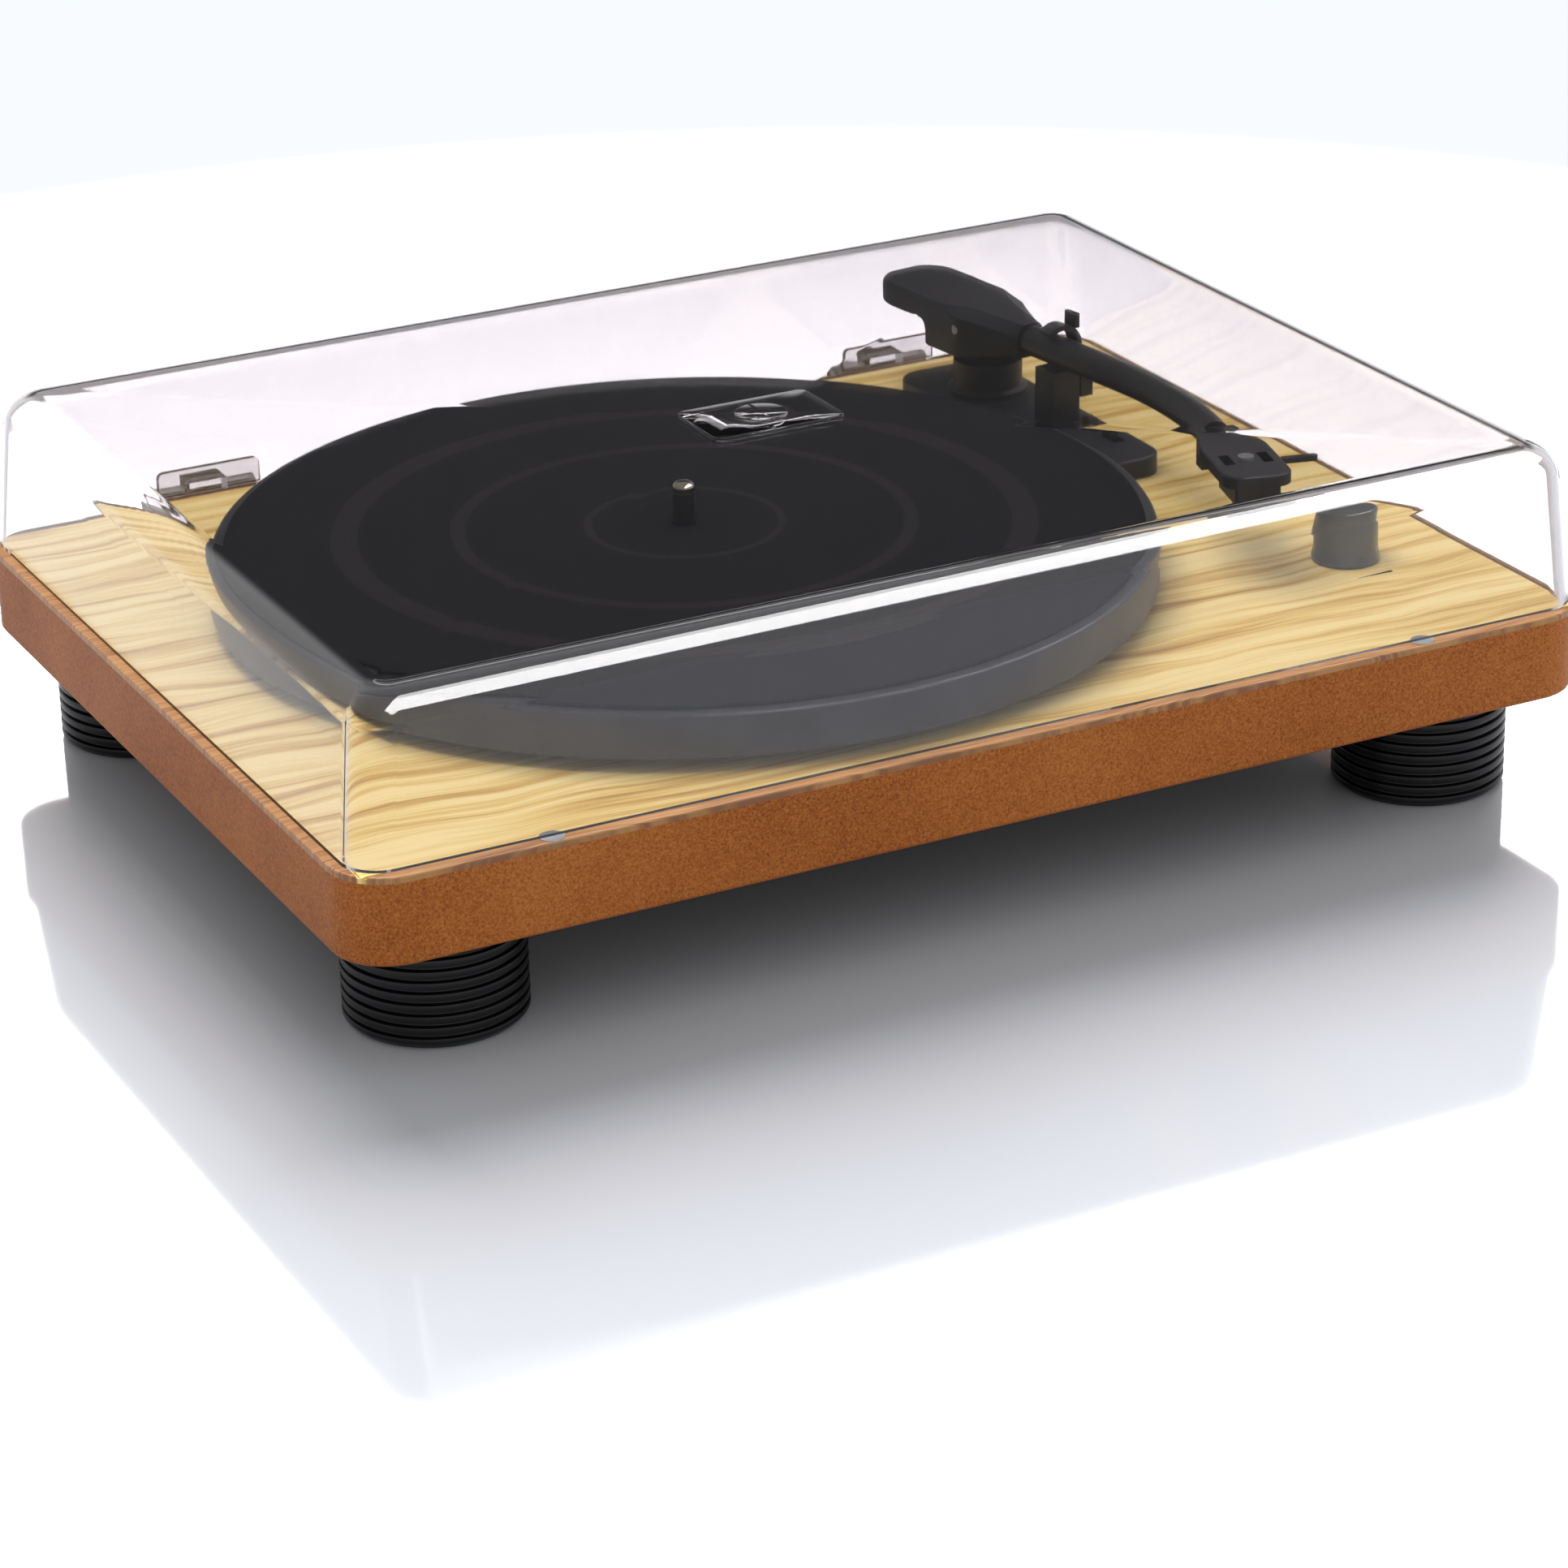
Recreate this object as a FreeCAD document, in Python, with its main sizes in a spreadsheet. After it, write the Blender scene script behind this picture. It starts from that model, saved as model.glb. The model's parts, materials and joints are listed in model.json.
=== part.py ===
# Belt-drive record player with a wooden plinth, ribbed feet, a moulded tonearm
# and a hinged clear dust cover.
# Millimetres. +Z is up and z = 0 is the surface that the feet stand on. +X is to the
# right of someone in front of the player, who looks along +Y. The origin is the middle
# of the footprint, hinges included.
import FreeCAD, Part
import math
import os
import re
import Sketcher
from FreeCAD import Rotation, Vector

doc = FreeCAD.newDocument("RecordPlayer")

# Driving dimensions -----------------------------------------------------------------
values = {
    # plinth
    "plinthLength": 420,
    "plinthDepth": 320,
    "cornerRadius": 18,
    "frameHeight": 25.7,
    "frameWall": 15,
    "bottomEdgeRadius": 1.5,
    "veneerHeight": 2.1,
    "topRabbet": 3,
    "topEdgeRadius": 0.7,
    "grooveInset": 4.6,
    "grooveWidth": 0.8,
    "grooveDepth": 0.6,
    "bottomThickness": 4,
    "boardClearance": 0.2,
    # feet
    "footHeight": 35.2,
    "footRadius": 27.5,
    "footInsetX": 39,
    "footInsetY": 38.4,
    "ribCount": 9,
    "ribDepth": 1.8,
    "ribShare": 0.62,
    "footHoleRadius": 5,
    "footHoleDepth": 24,
    "footScrewRadius": 2,
    "footScrewGrip": 3.2,
    # platter, mat and spindle
    "platterX": -28,
    "platterRadius": 150,
    "platterHeight": 14.5,
    "platterGap": 4,
    "platterWeb": 4,
    "channelGap": 8,
    "hubRise": 1.5,
    "platterEdge": 1.2,
    "matThickness": 1.5,
    "matInset": 4,
    "beltRingRadius": 88,
    "hubRadius": 12,
    "spindleRadius": 3.6,
    "spindleStand": 14,
    "spindleDome": 2.4,
    "spindleShaftRadius": 4,
    "runningFit": 0.05,
    "bushRadius": 7,
    "wellRadius": 11,
    "wellFlangeRadius": 22,
    "wellFlange": 3,
    "wellDepth": 16,
    "spindleEndGap": 0.3,
    # motor and belt
    "motorAngle": 135,
    "motorRadius": 16,
    "motorHeight": 14,
    "motorCap": 2,
    "motorEdge": 1.5,
    "pulleyRadius": 5,
    "pulleyFlange": 1.2,
    "pulleyFlangeHeight": 1.2,
    "motorShaftRadius": 1.2,
    "pulleyGap": 14,
    "pulleyHoleRadius": 9,
    "beltWidth": 5,
    "beltThickness": 0.6,
    "beltGap": 0.3,
    # tonearm
    "pivotX": 138,
    "pivotY": 98,
    "armHeading": 7,
    "armAxisZ": 94.5,
    "armRadius": 5.2,
    "armStraight": 76,
    "armBendRadius": 167,
    "armBend": 22,
    "armNose": 3,
    "baseThickness": 7,
    "baseFront": 8,
    "baseRear": 130,
    "baseRight": 156,
    "baseLeft": 118,
    "baseCorner": 9,
    "baseEdge": 1,
    "basePlatterGap": 3.5,
    "turretRadius": 12,
    "turretTop": 82,
    "bearingGap": 0.3,
    "pivotShaftRadius": 2.5,
    "pivotBushRadius": 5,
    "yokeRadius": 8.4,
    "yokePlate": 3,
    "yokeWidth": 15,
    "yokeEar": 3,
    "yokeLength": 10,
    "yokeTopGap": 4,
    "yokeHoleRadius": 1.6,
    "housingWidth": 29,
    "housingWall": 2.2,
    "housingTop": 101.5,
    "housingFront": 1,
    "housingRear": 51,
    "housingSlabBottom": 93.2,
    "skirtBottom": 84.3,
    "skirtRear": 17,
    "housingNose": 25,
    "noseWidth": 12.5,
    "noseTop": 100.2,
    "housingEdge": 2,
    "notchRadius": 5,
    "yokeRoom": 9.3,
    "yokeSideGap": 2.5,
    "weightLength": 20,
    "weightHeight": 5.5,
    # headshell, cartridge and stylus
    "shellLength": 50,
    "shellWidth": 22.4,
    "shellThickness": 4,
    "shellTop": 98.2,
    "shellNeck": 12.6,
    "neckLength": 19,
    "collarLength": 6,
    "collarDrop": 9,
    "fixingReach": 33,
    "fingerReach": 34.5,
    "fingerInset": 0.2,
    "shellEdge": 0.8,
    "shellCorner": 6,
    "slotPitch": 12.7,
    "slotWidth": 3.4,
    "slotLength": 9,
    "shellScrewRadius": 1.3,
    "fingerLength": 12,
    "fingerWidth": 2.4,
    "fingerThickness": 1.8,
    "cartridgeWidth": 15,
    "cartridgeLength": 19,
    "cartridgeHeight": 6.2,
    "cartridgeInset": 3,
    "cartridgeEdge": 1,
    "stylusWidth": 8,
    "stylusLength": 13,
    "stylusHeight": 3.2,
    "cantileverRadius": 0.4,
    "cantileverLength": 6,
    "tipDrop": 1.3,
    # arm rest and clip
    "restReach": 40,
    "restWidth": 11,
    "restGap": 0.65,
    "clipWall": 1.8,
    "clipDepth": 6,
    "clipGap": 0.5,
    "clipPinRadius": 1.2,
    "clipTab": 5,
    # levers on the tonearm base
    "leverX": 148.5,
    "speedLeverY": 45.6,
    "stopLeverY": 32.8,
    "leverLength": 4.5,
    "leverWidth": 3.4,
    "leverHeight": 4,
    "leverTravel": 4,
    "leverGap": 0.4,
    "leverPlate": 1.6,
    "leverEdge": 0.8,
    "caseMargin": 1.8,
    "caseHeight": 6,
    # volume control
    "knobX": 166,
    "knobY": -84,
    "knobRadius": 10.5,
    "knobFoot": 11,
    "knobHeight": 17,
    "knobGap": 0.6,
    "knobEdge": 1.2,
    "knobShaftRadius": 3,
    "potSize": 17,
    "potHeight": 8,
    # circuit board
    "boardX": 80,
    "boardY": 118,
    "boardLength": 110,
    "boardDepth": 46,
    "boardThickness": 1.6,
    "postHeight": 5,
    "postRadius": 3,
    # rear sockets and switch
    "rearX": 38,
    "rearLength": 120,
    "rearHeight": 19,
    "rearThickness": 2.5,
    "rearLip": 5,
    "rcaHoleRadius": 4.2,
    "rcaRadius": 4.1,
    "rcaBore": 1.6,
    "rcaReach": 3,
    "rcaPitch": 16,
    "socketDepth": 14,
    "dcRadius": 4.5,
    "dcBore": 2.8,
    "switchLength": 19,
    "switchHeight": 12,
    "switchDepth": 12,
    "rockerLength": 12.6,
    "rockerHeight": 8,
    "rockerTilt": 8,
    "rockerGap": 0.8,
    "rockerThickness": 5,
    "rockerSet": 1.7,
    "rockerSink": 4,
    # speakers
    "speakerX": 105,
    "speakerY": -95,
    "speakerRadius": 33,
    "speakerHeight": 9,
    "coneRadius": 27,
    "magnetRadius": 16,
    "magnetHeight": 7,
    "grilleSlot": 3,
    "grillePitch": 7,
    "grilleCount": 7,
    # dust cover
    "coverInset": 2.8,
    "coverInsetY": 3,
    "coverHeight": 52,
    "coverDraft": 5,
    "coverDraftY": 2.2,
    "coverWall": 2.6,
    "coverCorner": 12,
    "coverTopRadius": 11,
    "coverGap": 0.6,
    "gatePlateLength": 46,
    "gatePlateWidth": 30,
    "gatePlateHeight": 0.8,
    "gateBossRadius": 8.5,
    "gateBossHeight": 0.6,
    "bumperRadius": 4,
    "bumperSink": 1,
    "bumperInset": 60,
    "bumperGap": 0.3,
    # cover hinges
    "hingeX": 130,
    "hingeAxisGap": 5.5,
    "hingeBarrel": 4.5,
    "hingeAxisZ": 60,
    "hingePin": 2,
    "hingeLength": 36,
    "hingeKnuckle": 11,
    "hingePlate": 2.2,
    "hingeDrop": 16,
    "hingeRise": 8.5,
    "hingeSideGap": 0.3,
    "screwRadius": 1.5,
    "screwHead": 3,
    "screwHeadHeight": 1.6,
    "screwLength": 8,
}

# Sizes worked out from the driving dimensions -----------------------------------------
derived = {
    "plinthY": "-(hingeAxisGap + hingeBarrel) / 2",
    "innerLength": "plinthLength - 2 * frameWall",
    "innerDepth": "plinthDepth - 2 * frameWall",
    "frameTop": "footHeight + frameHeight",
    "plinthTop": "frameTop + veneerHeight",
    "ceiling": "frameTop - topRabbet",
    "cavityFloor": "footHeight + bottomThickness",
    "footX": "plinthLength / 2 - footInsetX",
    "footY": "plinthDepth / 2 - footInsetY",
    "platterBottom": "plinthTop + platterGap",
    "platterTop": "platterBottom + platterHeight",
    "matTop": "platterTop + matThickness",
    "spindleTop": "matTop + spindleStand",
    "motorReach": "beltRingRadius + pulleyRadius + pulleyGap",
    "channelRadius": "motorReach + pulleyRadius + pulleyFlange + channelGap",
    "motorX": "platterX + motorReach * cos(motorAngle)",
    "motorY": "motorReach * sin(motorAngle)",
    "pulleyHeight": "2 * pulleyFlangeHeight + beltWidth + 2 * beltGap",
    "pulleyZ": "platterBottom + platterHeight - platterWeb - pulleyHeight - 0.5",
    "baseTop": "plinthTop + baseThickness",
    "yokeBottom": "turretTop + bearingGap",
    "restTop": "armAxisZ - armRadius - restGap",
    "restX": "pivotX + restReach * sin(armHeading)",
    "restY": "pivotY - restReach * cos(armHeading)",
    "bendEndX": "-armBendRadius * (1 - cos(armBend))",
    "bendEndY": "-armStraight - armBendRadius * sin(armBend)",
    "shellX": "bendEndX - armNose * sin(armBend)",
    "shellY": "bendEndY - armNose * cos(armBend)",
    "shellBottom": "shellTop - shellThickness",
    "shellWorldX": "pivotX + shellX * cos(armHeading) - shellY * sin(armHeading)",
    "shellWorldY": "pivotY + shellX * sin(armHeading) + shellY * cos(armHeading)",
    "shellTurn": "armHeading - armBend",
    "coverBottom": "plinthTop + coverGap",
    "coverTop": "coverBottom + coverHeight",
    "coverHalfX": "plinthLength / 2 - coverInset",
    "coverHalfY": "plinthDepth / 2 - coverInsetY",
    "hingeY": "plinthDepth / 2 + hingeAxisGap",
}

sizes = doc.addObject("Spreadsheet::Sheet", "Sizes")
for row, (name, value) in enumerate(values.items(), start=1):
    sizes.set(f"A{row}", name)
    sizes.set(f"B{row}", str(value))
    sizes.setAlias(f"B{row}", name)
first = len(values) + 1
for row, (name, rule) in enumerate(derived.items(), start=first):
    sizes.set(f"A{row}", name)
    sizes.setAlias(f"B{row}", name)
    sizes.set(f"B{row}", "=" + rule)
doc.recompute()

aliases = set(values) | set(derived)


def ruled(rule):
    """Turn a rule such as 'footHeight + 2' into an expression that reads the sheet."""
    return re.sub(r"[A-Za-z]+", lambda m: "Sizes." + m[0] if m[0] in aliases else m[0], str(rule))


def size(rule):
    return float(sizes.evalExpression(ruled(rule)))


def bindPlace(item, at, axis=None, angle=0):
    """Turn an object by a fixed or ruled angle and bind its position to the sheet."""
    if axis is not None:
        item.Placement = FreeCAD.Placement(Vector(), Rotation(Vector(*axis), size(angle)))
        item.setExpression("Placement.Rotation.Angle", ruled(angle))
    for letter, rule in zip("xyz", at):
        item.setExpression("Placement.Base." + letter, ruled(rule))


nodes = []


def body(label, at=(0, 0, 0), axis=None, angle=0):
    """A new single-piece body; y is counted from the middle of the plinth."""
    item = doc.addObject("PartDesign::Body", label)
    item.Label = label
    bindPlace(item, (at[0], f"plinthY + ({at[1]})", at[2]), axis, angle)
    nodes.append(item)
    return item


def add(owner, kind, bounds, at=(0, 0, 0), axis=None, angle=0):
    """Add or take away one primitive in a body."""
    before = owner.Shape.Volume if owner.Tip else 0
    item = owner.newObject("PartDesign::" + kind, f"{owner.Name}_{kind}")
    for name, rule in bounds.items():
        item.setExpression(name, ruled(rule))
    bindPlace(item, at, axis, angle)
    owner.Tip = item
    doc.recompute()
    if kind.startswith("Subtractive") and not owner.Shape.Volume < before - 1e-6:
        raise ValueError(f"{item.Name} cuts nothing")
    return item


def block(owner, length, width, height, at=(0, 0, 0), cut=False, **turn):
    """A box centred on at in X and Y, with its bottom at at's z."""
    kind = "SubtractiveBox" if cut else "AdditiveBox"
    corner = (f"{at[0]} - ({length}) / 2", f"{at[1]} - ({width}) / 2", at[2])
    return add(owner, kind, {"Length": length, "Width": width, "Height": height}, corner, **turn)


def disc(owner, radius, height, at=(0, 0, 0), cut=False, **turn):
    kind = "SubtractiveCylinder" if cut else "AdditiveCylinder"
    return add(owner, kind, {"Radius": radius, "Height": height}, at, **turn)


def edgesWhere(owner, test):
    found = []
    for number, edge in enumerate(owner.Tip.Shape.Edges, start=1):
        if test(edge):
            found.append(f"Edge{number}")
    return found


def upright(edge):
    """True for a straight edge that runs up and down."""
    straight = edge.Curve.TypeId == "Part::GeomLine"
    return straight and abs(edge.tangentAt(edge.FirstParameter).z) > 0.999


def flatAt(height):
    """A test for edges that lie wholly at one height of the body's own frame."""
    level = size(height)
    return lambda edge: abs(edge.BoundBox.ZMin - level) < 1e-4 and abs(edge.BoundBox.ZMax - level) < 1e-4


def dress(owner, kind, prop, rule, test):
    """A fillet or chamfer on the edges that pass the test."""
    base = owner.Tip
    names = edgesWhere(owner, test)
    item = owner.newObject("PartDesign::" + kind, f"{owner.Name}_{kind}")
    item.Base = (base, names)
    item.setExpression(prop, ruled(rule))
    owner.Tip = item
    doc.recompute()
    return item


def rounded(owner, radius, test=upright):
    return dress(owner, "Fillet", "Radius", radius, test)


def sketch(owner, role, points):
    """A closed outline through ruled points on one of the body's own planes."""
    plane = [item for item in owner.Origin.OriginFeatures if item.Role == role][0]
    item = owner.newObject("Sketcher::SketchObject", f"{owner.Name}_Outline")
    item.AttachmentSupport = (plane, [""])
    item.MapMode = "FlatFace"
    flat = [(size(x), size(y)) for x, y in points]
    count = len(flat)
    for i in range(count):
        ends = [Vector(*flat[i], 0), Vector(*flat[(i + 1) % count], 0)]
        item.addGeometry(Part.LineSegment(*ends))
    for i in range(count):
        item.addConstraint(Sketcher.Constraint("Coincident", i, 2, (i + 1) % count, 1))
    for i, rules in enumerate(points):
        for kind, rule in zip(("DistanceX", "DistanceY"), rules):
            number = item.addConstraint(Sketcher.Constraint(kind, -1, 1, i, 1, size(rule)))
            item.setExpression(f"Constraints[{number}]", ruled(rule))
    return item


def turned(label, points, at=(0, 0, 0), axis=None, angle=0):
    """A piece turned about its own Z from (radius, height) points."""
    item = body(label, at, axis, angle)
    outline = sketch(item, "XZ_Plane", points)
    shape = item.newObject("PartDesign::Revolution", label + "_Turned")
    shape.Profile = outline
    shape.ReferenceAxis = (outline, ["V_Axis"])
    shape.Angle = 360
    item.Tip = shape
    doc.recompute()
    return item


def pad(owner, points, height, at=(0, 0, 0)):
    """A plate with a ruled outline, seen from above."""
    outline = sketch(owner, "XY_Plane", points)
    for letter, rule in zip("xyz", at):
        outline.setExpression("AttachmentOffset.Base." + letter, ruled(rule))
    shape = owner.newObject("PartDesign::Pad", owner.Name + "_Pad")
    shape.Profile = outline
    shape.setExpression("Length", ruled(height))
    owner.Tip = shape
    doc.recompute()
    return shape


def repeat(owner, feature, role, length, count):
    """Repeat one feature in a straight row along a line of the body's origin."""
    line = [item for item in owner.Origin.OriginFeatures if item.Role == role][0]
    item = owner.newObject("PartDesign::LinearPattern", owner.Name + "_Row")
    item.Originals = [feature]
    item.Direction = (line, [""])
    item.setExpression("Length", ruled(length))
    item.setExpression("Occurrences", ruled(count))
    owner.Tip = item
    doc.recompute()
    return item


def screw(name, at, axis=(1, 0, 0), angle=0, radius="screwRadius", length="screwLength"):
    """A round-headed screw; unturned, its head is on top and its shank points down."""
    head = doc.addObject("Part::Cylinder", name + "_Head")
    head.setExpression("Radius", ruled("screwHead"))
    head.setExpression("Height", ruled("screwHeadHeight"))
    shank = doc.addObject("Part::Cylinder", name + "_Shank")
    shank.setExpression("Radius", ruled(radius))
    shank.setExpression("Height", ruled(length))
    shank.setExpression("Placement.Base.z", ruled(f"-({length})"))
    item = doc.addObject("Part::Fuse", name)
    item.Base = head
    item.Tool = shank
    bindPlace(item, (at[0], f"plinthY + ({at[1]})", at[2]), axis, angle)
    return item


def group(label, members):
    """Identical small pieces that share one node."""
    item = doc.addObject("Part::Compound", label)
    item.Label = label
    item.Links = members
    nodes.append(item)
    return item


def rod(name, radius, length, at, axis=(1, 0, 0), angle=0):
    item = doc.addObject("Part::Cylinder", name)
    item.setExpression("Radius", ruled(radius))
    item.setExpression("Height", ruled(length))
    bindPlace(item, (at[0], f"plinthY + ({at[1]})", at[2]), axis, angle)
    return item


# Plinth ------------------------------------------------------------------------------
def buildPlinth():
    frame = body("plinth_frame", (0, 0, "footHeight"))
    block(frame, "plinthLength", "plinthDepth", "frameHeight")
    rounded(frame, "cornerRadius")
    rounded(frame, "bottomEdgeRadius", flatAt(0))
    block(frame, "innerLength", "innerDepth", "frameHeight + 2", (0, 0, -1), cut=True)
    back = "plinthDepth / 2"
    block(frame, "rearLength - 2 * rearLip", "3 * frameWall", "rearHeight - rearLip",
          ("rearX", back, "(frameHeight - rearHeight + rearLip) / 2"), cut=True)
    block(frame, "rearLength", "2 * rearThickness", "rearHeight",
          ("rearX", back, "(frameHeight - rearHeight) / 2"), cut=True)

    top = body("top_panel", (0, 0, "frameTop"))
    block(top, "plinthLength", "plinthDepth", "veneerHeight")
    rounded(top, "cornerRadius")
    rounded(top, "topEdgeRadius", flatAt("veneerHeight"))
    block(top, "innerLength - 2 * boardClearance", "innerDepth - 2 * boardClearance",
          "topRabbet", (0, 0, "-topRabbet"))
    grooveZ = "veneerHeight - grooveDepth"
    spanX = "plinthLength - 2 * grooveInset"
    spanY = "plinthDepth - 2 * grooveInset"
    for side in (-1, 1):
        block(top, spanX, "grooveWidth", "grooveDepth * 2",
              (0, f"{side} * ({spanY}) / 2", grooveZ), cut=True)
        block(top, "grooveWidth", spanY, "grooveDepth * 2",
              (f"{side} * ({spanX}) / 2", 0, grooveZ), cut=True)
    through = "veneerHeight + topRabbet + 2"
    below = "-topRabbet - 1"
    disc(top, "wellRadius", through, ("platterX", 0, below), cut=True)
    disc(top, "pulleyHoleRadius", through, ("motorX", "motorY", below), cut=True)
    disc(top, "knobShaftRadius + 1", through, ("knobX", "knobY", below), cut=True)
    for lever in ("speedLeverY", "stopLeverY"):
        block(top, "leverWidth + 2 * leverGap", "leverLength + leverTravel + 2 * leverGap",
              through, ("leverX", f"{lever} - leverTravel / 2", below), cut=True)
    for side in (-1, 1):
        disc(top, "bumperRadius", "bumperSink + 1",
             (f"{side} * (coverHalfX - bumperInset)", "-coverHalfY + coverWall / 2", "veneerHeight - bumperSink"),
             cut=True)

    bottom = body("bottom_cover", (0, 0, "footHeight"))
    block(bottom, "innerLength - 2 * boardClearance", "innerDepth - 2 * boardClearance",
          "bottomThickness")
    reach = "grillePitch * (grilleCount - 1)"
    for side in (-1, 1):
        slot = block(bottom, "grilleSlot", "coneRadius * 1.4", "bottomThickness + 2",
                     (f"{side} * speakerX - ({reach}) / 2", "speakerY", -1), cut=True)
        repeat(bottom, slot, "X_Axis", reach, "grilleCount")
    for sideX in (-1, 1):
        for sideY in (-1, 1):
            disc(bottom, "footScrewRadius", "footScrewGrip + 1",
                 (f"{sideX} * footX", f"{sideY} * footY", -1), cut=True)


def buildFeet():
    pitch = "(footHeight - 2) / ribCount"
    outline = [("footScrewRadius + 0.3", "footHeight"), ("footScrewRadius + 0.3", "footHoleDepth"),
               ("footHoleRadius", "footHoleDepth"), ("footHoleRadius", 0), ("footRadius - 2", 0)]
    for rib in range(int(size("ribCount"))):
        low = f"2 + {rib} * {pitch}"
        crest = f"{low} + {pitch} * ribShare"
        outline.append(("footRadius - 0.4" if rib else "footRadius - 0.6", low))
        outline.append(("footRadius", f"{low} + 0.5"))
        outline.append(("footRadius", f"{crest} - 0.5"))
        outline.append(("footRadius - 0.4", crest))
        outline.append(("footRadius - ribDepth", f"{crest} + 0.2"))
        outline.append(("footRadius - ribDepth", f"{low} + {pitch} - 0.2"))
    outline.append(("footRadius - ribDepth", "footHeight"))
    for end, sideY in (("front", -1), ("rear", 1)):
        for hand, sideX in (("left", -1), ("right", 1)):
            turned(f"foot_{end}_{hand}", outline, (f"{sideX} * footX", f"{sideY} * footY", 0))
    screws = []
    for sideX in (-1, 1):
        for sideY in (-1, 1):
            screws.append(screw(f"FootScrew{len(screws)}",
                                (f"{sideX} * footX", f"{sideY} * footY", "footHoleDepth"),
                                angle=180, radius="footScrewRadius",
                                length="footHeight + footScrewGrip - footHoleDepth"))
    group("foot_screws", screws)


# Platter and bearing -------------------------------------------------------------------
def buildPlatter():
    drop = "platterHeight - platterWeb"
    turned("platter", [
        ("spindleShaftRadius", 0), ("hubRadius", 0), ("hubRadius + 2", "hubRise"),
        ("beltRingRadius", "hubRise"), ("beltRingRadius", drop),
        ("channelRadius", drop), ("channelRadius", 0),
        ("platterRadius - platterEdge", 0), ("platterRadius", "platterEdge"),
        ("platterRadius", "platterHeight - platterEdge"),
        ("platterRadius - platterEdge", "platterHeight"), ("spindleShaftRadius", "platterHeight"),
    ], ("platterX", 0, "platterBottom"))
    turned("platter_mat", [
        ("spindleShaftRadius", 0), ("platterRadius - matInset", 0),
        ("platterRadius - matInset", "matThickness - 0.3"),
        ("platterRadius - matInset - 0.3", "matThickness"), ("spindleShaftRadius", "matThickness"),
    ], ("platterX", 0, "platterTop"))
    foot = "frameTop - wellDepth + spindleEndGap + 2"
    turned("spindle", [
        (0, foot), ("spindleShaftRadius - 0.5", foot), ("spindleShaftRadius", f"{foot} + 0.5"),
        ("spindleShaftRadius", "matTop"), ("spindleRadius", "matTop"),
        ("spindleRadius", "spindleTop - spindleDome"),
        ("spindleRadius * 0.92", "spindleTop - spindleDome * 0.55"),
        ("spindleRadius * 0.7", "spindleTop - spindleDome * 0.22"),
        ("spindleRadius * 0.35", "spindleTop - spindleDome * 0.04"),
        (0, "spindleTop"),
    ], ("platterX", 0, 0))
    turned("bearing_bush", [
        ("spindleShaftRadius + runningFit", 0), ("bushRadius", 0),
        ("bushRadius", "wellDepth + veneerHeight - 2"),
        ("spindleShaftRadius + runningFit", "wellDepth + veneerHeight - 2"),
    ], ("platterX", 0, "frameTop - wellDepth + 2"))
    well = turned("bearing_well", [
        (0, 0), ("wellRadius", 0), ("wellRadius", "wellDepth - topRabbet - wellFlange"),
        ("wellFlangeRadius", "wellDepth - topRabbet - wellFlange"),
        ("wellFlangeRadius", "wellDepth - topRabbet"), ("wellRadius", "wellDepth - topRabbet"),
        ("wellRadius", "wellDepth + veneerHeight"), ("bushRadius", "wellDepth + veneerHeight"),
        ("bushRadius", 2), (0, 2),
    ], ("platterX", 0, "frameTop - wellDepth"))
    holes = disc(well, "screwRadius", "wellFlange + 2",
                 ("(wellRadius + wellFlangeRadius) / 2", 0, "wellDepth - topRabbet - wellFlange - 1"),
                 cut=True)
    ring = well.newObject("PartDesign::PolarPattern", "WellScrewHoles")
    ring.Originals = [holes]
    ring.Axis = ([o for o in well.Origin.OriginFeatures if o.Role == "Z_Axis"][0], [""])
    ring.Angle = 360
    ring.Occurrences = 3
    well.Tip = ring
    doc.recompute()


# Motor, pulley and belt ------------------------------------------------------------------
def buildMotor():
    motor = body("motor", ("motorX", "motorY", "ceiling - motorHeight"))
    disc(motor, "motorRadius", "motorHeight")
    rounded(motor, "motorEdge", flatAt(0))
    disc(motor, "motorRadius * 0.35", "motorCap", (0, 0, "motorHeight"))
    disc(motor, "motorShaftRadius + runningFit", "motorHeight * 2",
         (0, 0, "motorHeight * 0.4"), cut=True)
    turned("motor_shaft", [
        (0, "ceiling - motorHeight * 0.6 + 0.3"), ("motorShaftRadius", "ceiling - motorHeight * 0.6 + 0.3"),
        ("motorShaftRadius", "pulleyZ + pulleyHeight"),
        (0, "pulleyZ + pulleyHeight"),
    ], ("motorX", "motorY", 0))
    outer = "pulleyRadius + pulleyFlange"
    crown = "pulleyHeight - pulleyFlangeHeight"
    turned("motor_pulley", [
        ("motorShaftRadius", 0), (outer, 0), (outer, "pulleyFlangeHeight"),
        ("pulleyRadius", "pulleyFlangeHeight"), ("pulleyRadius", crown), (outer, crown),
        (outer, "pulleyHeight"), ("motorShaftRadius", "pulleyHeight"),
    ], ("motorX", "motorY", "pulleyZ"))

    # The belt is an open-belt loop: two arcs joined by their common outer tangents.
    belt = doc.addObject("Part::Feature", "drive_belt")
    belt.Label = "drive_belt"
    big = size("beltRingRadius + beltGap")
    small = size("pulleyRadius + beltGap")
    reach = size("motorReach")

    def loop(extra):
        return Part.Face(Part.Wire(beltLoop(big + extra, small + extra, reach)))

    band = loop(size("beltThickness")).cut(loop(0))
    belt.Shape = band.extrude(Vector(0, 0, size("beltWidth")))
    belt.Placement = FreeCAD.Placement(
        Vector(size("platterX"), size("plinthY"), size("pulleyZ + pulleyFlangeHeight + beltGap")),
        Rotation(Vector(0, 0, 1), size("motorAngle")))
    nodes.append(belt)


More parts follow.
